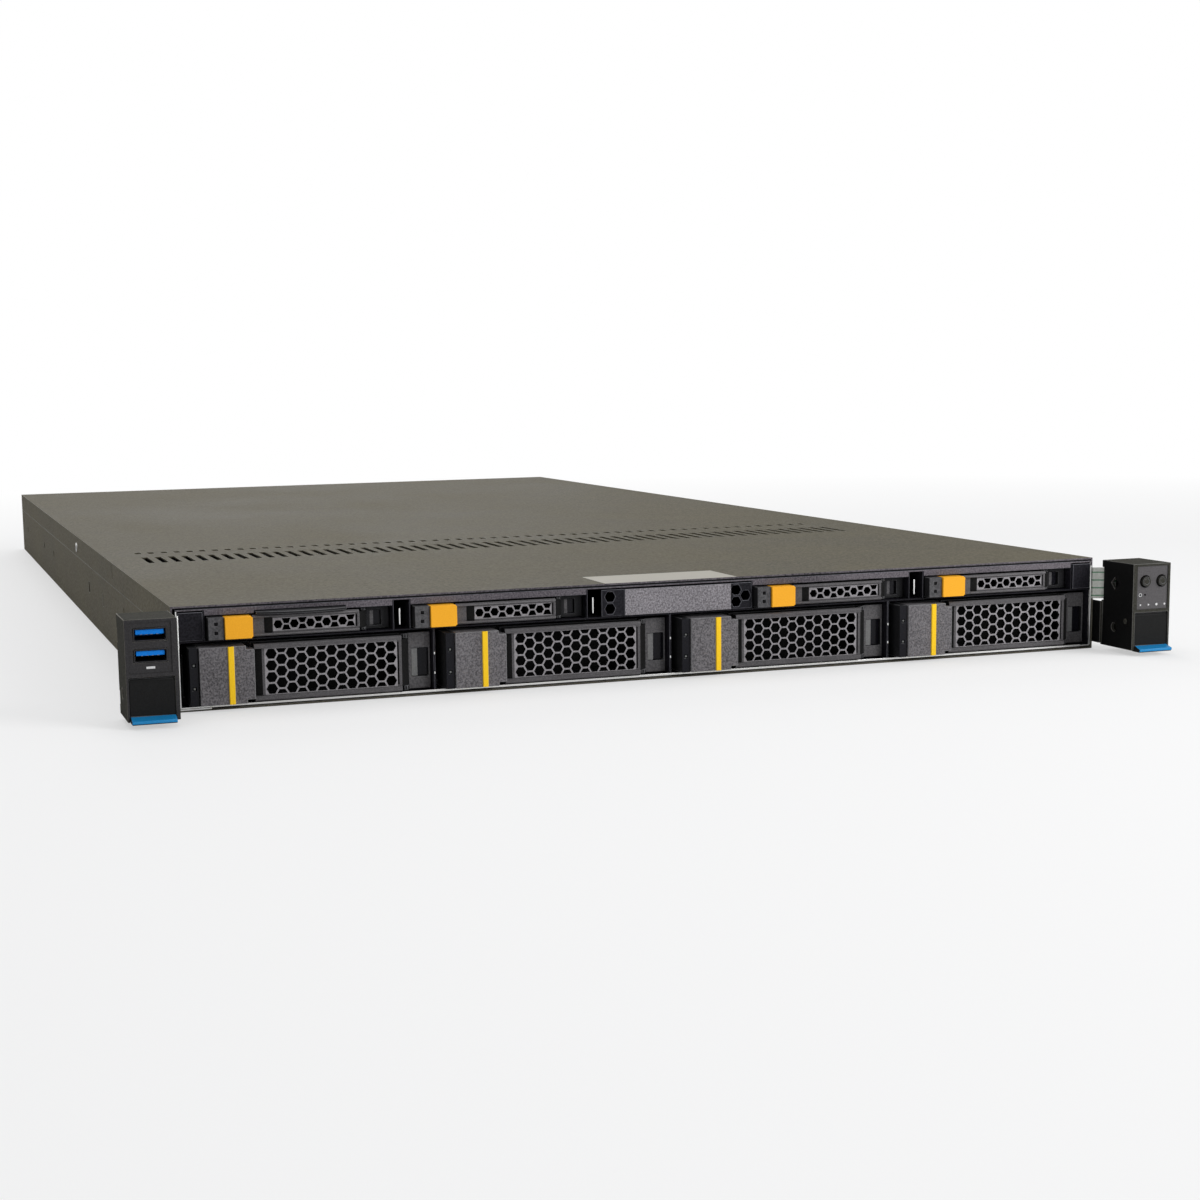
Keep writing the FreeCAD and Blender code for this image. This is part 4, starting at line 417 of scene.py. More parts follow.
CASE = finish("cast_aluminium", (0.30, 0.30, 0.30), (0.46, 0.46, 0.46), grain=1200, metal=0.9,
              rough=(0.4, 0.55), relief=0.00003, gloss=0.4)
# Painted shade: near black for the front end of a large drive, in the shadow of the honeycomb.
DRIVE_FRONT_SHADE = finish("drive_case", (0.004, 0.004, 0.004), (0.012, 0.012, 0.012), grain=900, gloss=0.03)
STICKER = finish("blank_sticker", (0.60, 0.60, 0.58), (0.72, 0.72, 0.70), grain=1400, relief=0.00001,
                 gloss=0.2)
LENS_GREEN = finish("green_lens", (0.02, 0.25, 0.05), (0.04, 0.38, 0.08), grain=1500, rough=(0.15, 0.25))
LENS_AMBER = finish("amber_lens", (0.55, 0.24, 0.02), (0.70, 0.33, 0.04), grain=1500, rough=(0.15, 0.25))
VIDEO = finish("video_blue", (0.01, 0.05, 0.22), (0.02, 0.08, 0.32), grain=1700, gloss=0.3)
print(len(bpy.data.materials), "materials")

# %% [markdown]
# ## Finishes with a drawing in them
# Three finishes hold more than grain. The front cover carries a bare pale sticker, made as a zone
# of the cover's own material, because paper adds no height that anyone can see. The circuit boards
# are green lacquer with a maze of copper tracks under it. The ribbon cables are pale film with
# fine green lines, one for each wire.

# %% Helpers for drawn finishes


def zone_mask(tree, low, high):
    """1 inside a box given in millimetres, from the zone group."""
    node = add(tree, "ShaderNodeGroup", node_tree=zone)
    node.inputs["Low"].default_value = mm(*low)
    node.inputs["High"].default_value = mm(*high)
    return node.outputs["Mask"]


def mixed_over(material, mask, color):
    """Lays a colour over a finish where the mask is 1, in front of its Base Color."""
    tree = material.node_tree
    shader = tree.nodes["Principled BSDF"]
    under = shader.inputs["Base Color"].links[0].from_socket
    over = add(tree, "ShaderNodeMix", data_type="RGBA")
    over.inputs[7].default_value = (*color, 1)
    tree.links.new(mask, over.inputs[0])
    tree.links.new(under, over.inputs[6])
    wire(tree, (over, 2, shader, "Base Color"))


print("a zone has the inputs", [item.name for item in zone.interface.items_tree if item.in_out == "INPUT"])

# %% Cover with a sticker
STICKER_LOW, STICKER_HIGH = (-30, 1.5, 43.2), (33, 31, 44)
COVER = COAT.copy()
COVER.name = "powder_coat_with_sticker"
mixed_over(COVER, zone_mask(COVER.node_tree, STICKER_LOW, STICKER_HIGH), (0.46, 0.44, 0.39))
print(COVER.name, "made")

# %% Circuit board
TRACKS_PER_METRE, TRACK_SHARE = 160.0, 0.06
BOARD = finish("board_lacquer", (0.004, 0.035, 0.018), (0.010, 0.070, 0.036), grain=900, rough=(0.28, 0.42))
tree = BOARD.node_tree
where = add(tree, "ShaderNodeTexCoord")
tracks = add(tree, "ShaderNodeTexBrick", Color1=(0, 0, 0, 1), Color2=(0, 0, 0, 1), Mortar=(1, 1, 1, 1),
             Scale=TRACKS_PER_METRE, Mortar_Size=TRACK_SHARE, Mortar_Smooth=0.1)
thin = add(tree, "ShaderNodeMath", operation="MULTIPLY")
thin.inputs[1].default_value = 0.6
wire(tree, (where, "Object", tracks, "Vector"), (tracks, "Color", thin, 0))
mixed_over(BOARD, thin.outputs[0], (0.03, 0.16, 0.08))
print(BOARD.name, "made")

# %% Ribbon cable
WIRES_PER_METRE, GREEN_FROM = 270.0, 0.82
RIBBON = finish("ribbon_film", (0.55, 0.57, 0.52), (0.74, 0.75, 0.70), grain=900, rough=(0.35, 0.5),
                gloss=0.4)
tree = RIBBON.node_tree
where = add(tree, "ShaderNodeTexCoord")
split = add(tree, "ShaderNodeSeparateXYZ")
count = add(tree, "ShaderNodeMath", operation="MULTIPLY")
count.inputs[1].default_value = WIRES_PER_METRE
part = add(tree, "ShaderNodeMath", operation="FRACT")
line = add(tree, "ShaderNodeMath", operation="GREATER_THAN")
line.inputs[1].default_value = GREEN_FROM
wire(tree, (where, "Object", split, 0), (split, "Z", count, 0), (count, 0, part, 0),
     (part, 0, line, 0))
mixed_over(RIBBON, line.outputs[0], (0.16, 0.30, 0.20))
print(RIBBON.name, "made, the last of", len(bpy.data.materials), "materials")

# %% [markdown]
# ## Dressing a frame node
# The frame's solids have razor sharp edges. Real bends and moulded parts are rounded, and the
# rounding is what catches the light. `dressed` copies a node's mesh, merges its loose triangles,
# joins flat neighbours into whole faces, and bevels what is still sharp. A bevel is held back
# everywhere by the shortest edge that it meets, so the short edges round bores are left out. So are
# the corners where two sheets of the cage only touch along an edge, which a bevel would tear. The
# new faces get a lighter edge material: partly wear along the edge, and partly a painted highlight
# of the light that a rounded edge catches. `paint` then colours the faces inside a box, for parts
# that have two finishes.

# %% Dressing
MERGE, FLAT, CURVED = 0.000002, math.radians(0.6), 0.01


def slot_for(mesh, material):
    """The number of a material's slot on a mesh, added where it is missing."""
    for number, held in enumerate(mesh.materials):
        if held == material:
            return number
    mesh.materials.append(material)
    return len(mesh.materials) - 1


def dressed(node, main, edge=None, width=0.25, segments=2, angle=30, reshape=None):
    """A copy of a frame node with rounded edges, in place of the node; `reshape` may change it first."""
    mesh = NODES[node].data.copy()
    mesh.name = node + "_dressed"
    mesh.materials.clear()
    mesh.materials.append(main)
    mesh.materials.append(edge or main)
    shape = bmesh.new()
    shape.from_mesh(mesh)
    bmesh.ops.remove_doubles(shape, verts=shape.verts, dist=MERGE)
    bmesh.ops.dissolve_limit(shape, angle_limit=FLAT, verts=shape.verts, edges=shape.edges)
    if reshape:
        reshape(shape)
    limit = math.radians(angle)
    for face in shape.faces:
        face.material_index = 0
        face.smooth = any(CURVED < e.calc_face_angle(0) < limit for e in face.edges if e.is_manifold)
    sharp = [e for e in shape.edges if e.is_manifold and e.calc_face_angle(0) > limit]
    held = {v for e in sharp if e.calc_length() < mm(2 * width) for v in e.verts}
    held |= {v for v in shape.verts if not v.is_manifold}
    sharp = [e for e in sharp if not held.intersection(e.verts)]
    if width and sharp:
        made = bmesh.ops.bevel(shape, geom=sharp, offset=mm(width), offset_type="OFFSET", segments=segments,
                               profile=0.5, affect="EDGES", clamp_overlap=True, material=-1)
        # The bevel faces take the lighter edge material: wear and a painted highlight.
        for face in made["faces"]:
            face.material_index = 1
            face.smooth = True
    shape.to_mesh(mesh)
    shape.free()
    piece = bpy.data.objects.new(node + "_dressed", mesh)
    bpy.context.scene.collection.objects.link(piece)
    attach(piece, BODY_OF[node])
    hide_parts(node)
    return piece


print("merged within", MERGE * 1000, "mm, and flat within", round(math.degrees(FLAT), 2), "degrees")

# %% Painting
LEFT, RIGHT, UP = Vector((-1, 0, 0)), Vector((1, 0, 0)), Vector((0, 0, 1))
FORWARD, BACK = Vector((0, -1, 0)), Vector((0, 1, 0))
AROUND = Vector((1, 1, 1))
ALIGNED = 0.9


def paint(piece, material, low, high, facing=None, but=None):
    """Give a material to faces inside a box in millimetres, facing one way, or any way but one."""
    number = slot_for(piece.data, material)
    low, high = mm(*low), mm(*high)
    count = 0
    for face in piece.data.polygons:
        inside = all(low[i] <= face.center[i] <= high[i] for i in range(3))
        turned = facing is not None and face.normal.dot(facing) < ALIGNED
        kept = but is not None and face.normal.dot(but) > ALIGNED
        if inside and not turned and not kept:
            face.material_index = number
            count += 1
    return count


def dress_in_place(node, material):
    """Leave a frame node's shape as it is, and give it a finish."""
    for slot in NODES[node].material_slots:
        slot.material = material


print("faces within", round(math.degrees(math.acos(ALIGNED))), "degrees count as facing one way")

# %% [markdown]
# ## Chassis and covers
# The chassis is one folded sheet with a powder coat. Its bends are about as wide as the sheet is
# thick, so its edges get a bevel close to that. The two covers lie in its seam with folded edges.
# The drive cage behind them is painted too, but the cut edges of its floor and outer walls stay
# bare steel: that is the bright line that frames the whole front.

# %% Chassis, covers and rear wall
chassis = dressed("chassis_base", COAT, COAT_EDGE_WEAR_AND_HIGHLIGHT, width=0.3)
chassis_low, chassis_high = span("chassis_base")
paint(chassis, CAGE, (chassis_low.x, -0.5, -0.1), (chassis_high.x, 0.5, 1.3), facing=FORWARD)
front_cover = dressed("front_cover", COVER, COAT_EDGE_WEAR_AND_HIGHLIGHT, width=0.35)
cover_low, cover_high = span("front_cover")
# Painted highlight on the cover's front edge.
paint(front_cover, LIP_HIGHLIGHT, cover_low - Vector((1, 0.1, 1)),
      (cover_high.x, cover_low.y + 0.1, cover_high.z), facing=FORWARD)
dressed("rear_cover", COAT, COAT_EDGE_WEAR_AND_HIGHLIGHT, width=0.35)
dressed("rear_wall", PLATED, STEEL, width=0.15, segments=1)
print("chassis, covers and rear wall dressed")

# %% Drive cage
cage = dressed("drive_cage", CAGE, CAGE_EDGE_WEAR_AND_HIGHLIGHT, width=0.15, segments=1)
cage_low, cage_high = span("drive_cage")
# Painted highlight on the front edge of the cage roof.
paint(cage, LIP_HIGHLIGHT, (cage_low.x - 1, -0.1, cage_high.z - 1.8), (cage_high.x + 1, 0.1, cage_high.z),
      facing=FORWARD)
bare = paint(cage, STEEL, (cage_low.x - 1, -0.2, 0), (cage_high.x + 1, 0.2, cage_low.z + 0.8))
for wall in (cage_low.x, cage_high.x):
    bare += paint(cage, STEEL, (wall - 0.8, -0.2, 0), (wall + 0.8, 0.2, cage_high.z))
print("bare front edges:", bare, "faces")

# %% [markdown]
# ## The drive trays
# Each large tray has a black frame, a wide textured button with a yellow stripe, a honeycomb
# lever and a plain block beside it. The slim trays above repeat this at a third of the height,
# with an orange button. Four of each are made in one loop, since only their place differs. The
# lever's hinge end, its back and the walls of its holes lie in shade, so they are painted black as
# painted shade. The net between the holes catches light from all sides and looks paler than the
# plate round it, so it gets a paler finish as a painted highlight, and the plate is split along the
# edge of the field first. In the thin lever the half holes above and below the row also reach a
# little further out than in the frame.

# %% The honeycomb field
PLATE_FRONT, PLATE_BACK, NEAR = -0.4, 1.4, 0.05
FIELD = {"large": (4.5, 60.9, 9.7), "slim": (8.7, 43.4, 2.7)}


def plate_faces(shape, facing, depth):
    """The flat faces of a lever's plate that face one way, at one depth in millimetres."""
    return [f for f in shape.faces if f.normal.dot(facing) > ALIGNED
            and abs(f.calc_center_median().y - mm(depth)) < mm(NEAR)]


def split_field(shape, left, right, middle, half):
    """Cut the lever's front face along the four sides of its honeycomb."""
    for along, place in ((0, left), (0, right), (2, middle - half), (2, middle + half)):
        front = plate_faces(shape, FORWARD, PLATE_FRONT)
        edges = list({e for f in front for e in f.edges})
        verts = list({v for f in front for v in f.verts})
        point, normal = Vector((0, 0, 0)), Vector((0, 0, 0))
        point[along], normal[along] = mm(place), 1.0
        bmesh.ops.bisect_plane(shape, geom=front + edges + verts, plane_co=point, plane_no=normal,
                               dist=MERGE / 2)


print("fields reach", FIELD, "mm: start, end and half height")

# %% Half holes of the thin lever
HEX_FIRST, HEX_STEP, HEX_HALF, HEX_SIDE = 10.85, 3.4035, 1.6, 1.637
HALF_HOLE_END, HALF_HOLE_WIDE = 2.35, 1.8


def widen_half_holes(shape, left, middle):
    """Move the outer corners of the thin lever's half holes away from the row, and fill its plate anew."""
    rims = []
    for facing, depth in ((FORWARD, PLATE_FRONT), (BACK, PLATE_BACK)):
        flat = plate_faces(shape, facing, depth)
        rims.append([e for f in flat for e in f.edges if not all(g in flat for g in e.link_faces)])
        bmesh.ops.delete(shape, geom=flat, context="FACES")
    for vert in shape.verts:
        rise = vert.co.z - mm(middle)
        column = (vert.co.x - mm(left + HEX_FIRST)) / mm(HEX_STEP)
        nearest = 2 * round((column - 1) / 2) + 1
        aside = vert.co.x - mm(left + HEX_FIRST + nearest * HEX_STEP)
        if abs(abs(rise) - mm(HEX_HALF)) < mm(NEAR) and abs(abs(aside) - mm(HEX_SIDE)) < mm(NEAR):
            vert.co.x += math.copysign(mm(HALF_HOLE_WIDE), aside) - aside
            vert.co.z = mm(middle) + math.copysign(mm(HALF_HOLE_END), rise)
    for rim, facing in zip(rims, (FORWARD, BACK)):
        bmesh.ops.triangle_fill(shape, edges=rim, use_beauty=True, use_dissolve=False, normal=facing)


print("half holes end", HALF_HOLE_END, "mm from the middle of their row")

# %% Large and slim trays
RAIL = {"large": 2.2, "slim": 1.3}
LEVER_END, BLOCK_PLACE = 3.6, 4.0
STRIPE_START, STRIPE_WIDTH, STRIPE_RISE = 11.8, 2.4, 0.62


def dress_lever(kind, number):
    """A lever with its net painted paler as a painted highlight, and its holes, hinge end and back painted
    dark as painted shade.
    """
    low, high = span(f"{kind}_lever_{number}")
    middle, (start, end, half), rail = (low.z + high.z) / 2, FIELD[kind], RAIL[kind]

    def net(shape):
        if kind == "slim":
            widen_half_holes(shape, low.x, middle)
        split_field(shape, low.x + start, low.x + end, middle, half)

    lever = dressed(f"{kind}_lever_{number}", LEVER, LEVER_EDGE_WEAR_AND_HIGHLIGHT, width=0.16, segments=1, reshape=net)
    # Painted shade on the hinge end and on the walls of the holes.
    paint(lever, LEVER_SHADE, (high.x - LEVER_END, -1, low.z), high)
    paint(lever, LEVER_SHADE, (low.x - 1, PLATE_FRONT + 0.01, low.z + rail), (high.x, high.y, high.z - rail),
          but=FORWARD)
    # Painted highlight on the net between the holes.
    paint(lever, NET_HIGHLIGHT, (low.x + start, PLATE_FRONT - NEAR, middle - half),
          (low.x + end, PLATE_FRONT + NEAR, middle + half), facing=FORWARD)
    # Painted shade on the back of the lever.
    paint(lever, LEVER_SHADE, (low.x - 1, 0.5, low.z), high)


def dress_tray(kind, number):
    """A tray with its indicator strip on the left and its block on the right of the lever."""
    large = kind == "large"
    tray = dressed(f"{kind}_tray_{number}", TRAY, TRAY_EDGE_WEAR_AND_HIGHLIGHT, width=0.25 if large else 0.2)
    low, high = span(f"{kind}_tray_{number}")
    strip_end = span(f"{kind}_button_{number}")[0].x
    block_start = span(f"{kind}_lever_{number}")[1].x
    paint(tray, GLASS if large else STRIP, (low.x, low.y - 0.1, 0), (strip_end, low.y + 0.3, high.z))
    paint(tray, BLACK, (low.x, low.y + 0.31, 0), (strip_end, low.y + 1, high.z))
    paint(tray, BLOCK if large else TRAY, (block_start, BLOCK_PLACE - 0.1, 0),
          (high.x, BLOCK_PLACE + 0.1, high.z))


for number in (1, 2, 3, 4):
    dress_tray("large", number)
    button = dressed(f"large_button_{number}", BUTTON, BUTTON_EDGE_WEAR_AND_HIGHLIGHT, width=0.25)
    dress_lever("large", number)
    start, end = span(f"large_button_{number}")
    stripe = paint(button, YELLOW, (start.x + STRIPE_START - 0.1, start.y - 0.1, start.z - 0.1),
                   (start.x + STRIPE_START + STRIPE_WIDTH + 0.1, start.y + STRIPE_RISE, end.z + 0.1))
    dress_tray("slim", number)
    dressed(f"slim_button_{number}", ORANGE, width=0.2)
    dress_lever("slim", number)
    print("tray", number, "has", stripe, "stripe faces")

# %% [markdown]
# ## Blanks, tag and ears
# Between the slim trays the cage is closed by a wide textured blank with a strip of vents at each
# end. The ears are small painted boxes with a front panel, and each has a hinged flap with a blue
# lip that hides the rack screw. The two USB sockets in the left ear have blue tongues.

# %% Blanks and tag
blanks = dressed("upper_blanks", CAGE, CAGE_EDGE_WEAR_AND_HIGHLIGHT, width=0.2)
low, high = span("upper_blanks")
front_faces = paint(blanks, BLANK, (low.x, low.y - 0.1, low.z - 1), (high.x, low.y + 0.1, high.z + 1),
                    facing=FORWARD)
dressed("pull_tag", TRAY, TRAY_EDGE_WEAR_AND_HIGHLIGHT, width=0.2)
print("the textured blank has", front_faces, "front faces")

# %% Ears, flaps and push buttons
PANEL_DEPTH, PANEL_LOW, LIP_DEPTH, LIP_HEIGHT = 0.3, 20, 4.0, 2.6
# The left ear takes the darker copy of the panel finish, as painted shade.
for side, inner, edge, panel in (("left", RIGHT, COAT_EDGE_WEAR_AND_HIGHLIGHT, PANEL_IN_SHADE), ("right", LEFT, EAR_EDGE_WEAR_AND_HIGHLIGHT, PANEL)):
    ear = dressed(f"{side}_ear", EAR, edge, width=0.25)
    low, high = span(f"{side}_ear")
    # Painted shade on the inner side of the ear.
    paint(ear, EAR_BLACK_AND_SHADE, low - AROUND, high + AROUND, facing=inner)
    paint(ear, panel, (low.x, low.y + PANEL_DEPTH, PANEL_LOW), (high.x, low.y + 2 * PANEL_DEPTH, high.z),
          facing=FORWARD)
    if side == "left":
        # Painted shade over the left ear's front bezel.
        paint(ear, panel, low - AROUND, (high.x + 1, low.y + 0.2, high.z + 1), facing=FORWARD)
    flap = dressed(f"{side}_ear_latch", FLAP, TRAY_EDGE_WEAR_AND_HIGHLIGHT, width=0.25)
    low, high = span(f"{side}_ear_latch")
    paint(flap, BLUE, low - AROUND, (high.x + 1, low.y + LIP_DEPTH, low.z + LIP_HEIGHT))
    paint(flap, FLAP, low - AROUND, (high.x + 1, low.y + LIP_DEPTH + 0.4, low.z + 0.3))
for name in ("power_button", "id_button"):
    dressed(name, EAR, TRAY_EDGE_WEAR_AND_HIGHLIGHT, width=0.25)
dress_in_place("ear_ribbons", RIBBON)
print("ears, flaps and push buttons dressed")

# %% Front sockets
TONGUE_TOP, TONGUE_THICK, LOWER_SOCKET_HEIGHT = 0.7, 1.9, 5.2
sockets = dressed("usb_ports", BLACK, BLOCK, width=0.1, segments=1)
low, high = span("usb_ports")
for top in (high.z, low.z + LOWER_SOCKET_HEIGHT):
    tongue = paint(sockets, TONGUE, (low.x + 0.5, low.y + 0.5, top - TONGUE_TOP - TONGUE_THICK - 0.1),
                   (high.x - 0.5, high.y, top - TONGUE_TOP + 0.1))
print("each front socket has", tongue, "tongue faces")

# %% [markdown]
# ## Inside and at the back
# These parts show when the cover is lifted or from behind. Their shapes are right in the frame,
# so most keep it and only get their finish. The supplies are steel cans with black outlets.

# %% Inside
for node, material in {"drive_backplane": BOARD, "motherboard": BOARD, "memory_modules": BOARD,
                       "fan_housings": FAN, "heatsinks": SINK, "cover_screws": STEEL}.items():
    dress_in_place(node, material)
for number in range(1, 7):
    dress_in_place(f"fan_rotor_{number}", FAN)
print("boards, fans and coolers finished")

# %% Back
HANDLE_REACH, HANDLE_LEFT, HANDLE_RIGHT = 28.0, 37.0, 44.0
OUTLET_LOW, OUTLET_HIGH = Vector((38.08, -14.22, 15.88)), Vector((62.12, -0.08, 32.12))
ports = dressed("rear_ports", PLATED, STEEL, width=0.15, segments=1)
for number in (1, 2):
    supply = dressed(f"psu_{number}", PLATED, STEEL, width=0.2, segments=1)
    dressed(f"psu_latch_{number}", BLUE, width=0.2)
    low, high = span(f"psu_{number}")
    back = Vector((low.x, high.y - HANDLE_REACH, low.z))
    handle = paint(supply, TRAY, (low.x + HANDLE_LEFT, back.y + 0.02, low.z),
                   (low.x + HANDLE_RIGHT, high.y + 1, high.z))
    paint(supply, BLACK, back + OUTLET_LOW, back + OUTLET_HIGH)
    print("supply", number, "has", handle, "handle faces")

# %% [markdown]
# ## A tree that repeats a small part
# Screws, contacts, lenses and chips come in rows. One Geometry Nodes tree places a small unit in
# two directions: the index of each point is split into a column and a row, and each is multiplied
# by its own step. The tree ends in Realize Instances and Set Material, and the result is kept as a
# plain mesh, so nothing depends on the modifier afterwards.

# %% The row tree
rows_tree = bpy.data.node_groups.new("rows_of_a_part", "GeometryNodeTree")
face = rows_tree.interface
face.new_socket("Geometry", in_out="INPUT", socket_type="NodeSocketGeometry")
for label, kind in (("Unit", "NodeSocketObject"), ("Start", "NodeSocketVector"),
                    ("Step Across", "NodeSocketVector"), ("Count Across", "NodeSocketInt"),
                    ("Step Up", "NodeSocketVector"), ("Count Up", "NodeSocketInt"),
                    ("Material", "NodeSocketMaterial")):
    face.new_socket(label, in_out="INPUT", socket_type=kind)
face.new_socket("Geometry", in_out="OUTPUT", socket_type="NodeSocketGeometry")
enter, leave = add(rows_tree, "NodeGroupInput"), add(rows_tree, "NodeGroupOutput")
total = add(rows_tree, "ShaderNodeMath", operation="MULTIPLY")
points = add(rows_tree, "GeometryNodePoints")
index = add(rows_tree, "GeometryNodeInputIndex")
column = add(rows_tree, "ShaderNodeMath", operation="MODULO")
share = add(rows_tree, "ShaderNodeMath", operation="DIVIDE")
row = add(rows_tree, "ShaderNodeMath", operation="FLOOR")
across = add(rows_tree, "ShaderNodeVectorMath", operation="SCALE")
up = add(rows_tree, "ShaderNodeVectorMath", operation="SCALE")
first = add(rows_tree, "ShaderNodeVectorMath", operation="ADD")
second = add(rows_tree, "ShaderNodeVectorMath", operation="ADD")
move = add(rows_tree, "GeometryNodeSetPosition")
unit = add(rows_tree, "GeometryNodeObjectInfo", As_Instance=True)
copies = add(rows_tree, "GeometryNodeInstanceOnPoints")
real = add(rows_tree, "GeometryNodeRealizeInstances")
coat = add(rows_tree, "GeometryNodeSetMaterial")
wire(rows_tree, (enter, "Count Across", total, 0), (enter, "Count Up", total, 1),
     (total, 0, points, "Count"), (points, 0, move, "Geometry"), (index, 0, column, 0),
     (enter, "Count Across", column, 1), (index, 0, share, 0), (enter, "Count Across", share, 1),
     (share, 0, row, 0), (enter, "Step Across", across, 0), (column, 0, across, "Scale"),
     (enter, "Step Up", up, 0), (row, 0, up, "Scale"), (across, 0, first, 0), (up, 0, first, 1),
     (first, 0, second, 0), (enter, "Start", second, 1), (second, 0, move, "Position"),
     (move, 0, copies, "Points"), (enter, "Unit", unit, "Object"),
     (unit, "Geometry", copies, "Instance"), (copies, 0, real, 0), (real, 0, coat, "Geometry"),
     (enter, "Material", coat, "Material"), (coat, 0, leave, 0))
SOCKETS = {item.name: item.identifier for item in rows_tree.interface.items_tree if item.in_out == "INPUT"}
print("row tree inputs:", list(SOCKETS))

# %% [markdown]
# ## Small units
# A unit is made once, at the origin, and the tree repeats it. `lathe` turns a profile about an
# axis, for rivets, screws and capacitors; `brick` is a block with rounded edges, for chips,
# lenses and contacts. Both are a few dozen faces, because some are repeated hundreds of times.

# %% Units
TOWARDS = {"x": Matrix.Rotation(math.radians(90), 4, "Y"), "-x": Matrix.Rotation(math.radians(-90), 4, "Y"),
           "y": Matrix.Rotation(math.radians(-90), 4, "X"), "-y": Matrix.Rotation(math.radians(90), 4, "X"),
           "z": Matrix.Identity(4)}


def unit_object(shape):
    """A mesh object that only serves as the unit of rows, from a bmesh in millimetres."""
    bmesh.ops.recalc_face_normals(shape, faces=shape.faces)
    mesh = bpy.data.meshes.new("unit")
    shape.to_mesh(mesh)
    shape.free()
    mesh.transform(Matrix.Scale(0.001, 4))
    return bpy.data.objects.new("unit", mesh)


def lathe(profile, sides=16, facing="z"):
    """A closed turned shape from (radius, height) pairs in millimetres, bottom to top."""
    shape = bmesh.new()
    rings = []
    for radius, height in profile:
        turns = [2 * math.pi * i / sides for i in range(sides)]
        rings.append([shape.verts.new((radius * math.cos(t), radius * math.sin(t), height)) for t in turns])
    for lower, upper in zip(rings, rings[1:]):
        for i in range(sides):
            j = (i + 1) % sides
            made = shape.faces.new((lower[i], lower[j], upper[j], upper[i]))
            made.smooth = True
    shape.faces.new(rings[0][::-1])
    shape.faces.new(rings[-1])
    bmesh.ops.transform(shape, matrix=TOWARDS[facing], verts=shape.verts)
    return unit_object(shape)


def brick(size, edge=0.1):
    """A block centred on the origin, in millimetres, with rounded edges."""
    shape = bmesh.new()
    bmesh.ops.create_cube(shape, size=1.0)
    bmesh.ops.scale(shape, vec=size, verts=shape.verts)
    made = bmesh.ops.bevel(shape, geom=shape.edges[:], offset=edge, segments=1, profile=0.5, affect="EDGES")
    for item in made["faces"]:
        item.smooth = True
    return unit_object(shape)


def finished(name, mesh, node):
    """Puts a mesh in the scene as a piece that rides with a frame node."""
    piece = bpy.data.objects.new(name, mesh)
    mesh.name = name
    bpy.context.scene.collection.objects.link(piece)
    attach(piece, BODY_OF[node])
    return piece


def rows(name, unit, node, material, start, across=(0, 0, 0), count=1, up=(0, 0, 0), levels=1):
    """Copies of a unit in a row or a field, as one plain mesh that rides with a frame node."""
    host = bpy.data.objects.new("host", bpy.data.meshes.new("host"))
    bpy.context.scene.collection.objects.link(host)
    modifier = host.modifiers.new("rows", "NODES")
    modifier.node_group = rows_tree
    for label, value in (("Unit", unit), ("Start", mm(*start)), ("Step Across", mm(*across)),
                         ("Count Across", count), ("Step Up", mm(*up)), ("Count Up", levels),
                         ("Material", material)):
        modifier[SOCKETS[label]] = value
    graph = bpy.context.evaluated_depsgraph_get()
    mesh = bpy.data.meshes.new_from_object(host.evaluated_get(graph))
    bpy.data.objects.remove(host)
    return finished(name, mesh, node)


print("units can face", list(TOWARDS))

# %% [markdown]
# ## Details of the drive fronts
# Beside each honeycomb the lever slopes back to its hinge: on the left as a dark bevelled post,
# modelled as a small near-black wedge that is painted shade. Each tray's label block has a recess
# with a pale strip and a dark window, and its left strip carries two light pipes. All of them belong
# to one tray or lever, so each is its own piece and moves with it.

# %% Painted shade wedges beside the honeycombs
POST = {"large": (0.05, 3.35), "slim": (5.15, 8.45)}
POST_DEEP, POST_SHALLOW, POST_THICK = 0.85, -0.38, 0.6


def lever_shade_wedge(kind, number):
    """A three-sided bar of painted shade on a lever, from a deep left edge to a shallow right edge."""
    lever, name = f"{kind}_lever_{number}", f"{kind}_lever_post_{number}"
    low, high = span(lever)
    left, right = low.x + POST[kind][0], low.x + POST[kind][1]
    corners = [(left, POST_DEEP), (right, POST_SHALLOW), (right, POST_SHALLOW + POST_THICK),
               (left, POST_DEEP + POST_THICK)]
    ends = low.z + RAIL[kind], high.z - RAIL[kind]
    mesh = bpy.data.meshes.new(name)
    mesh.from_pydata([mm(x, y, z) for z in ends for x, y in corners], [],
                     [(0, 3, 2, 1), (4, 5, 6, 7), (0, 1, 5, 4), (1, 2, 6, 5), (2, 3, 7, 6), (3, 0, 4, 7)])
    # Near black throughout: painted shade.
    mesh.materials.append(LEVER_SHADE)
    return finished(name, mesh, lever)


print("posts run from", POST_DEEP, "to", POST_SHALLOW, "mm deep")

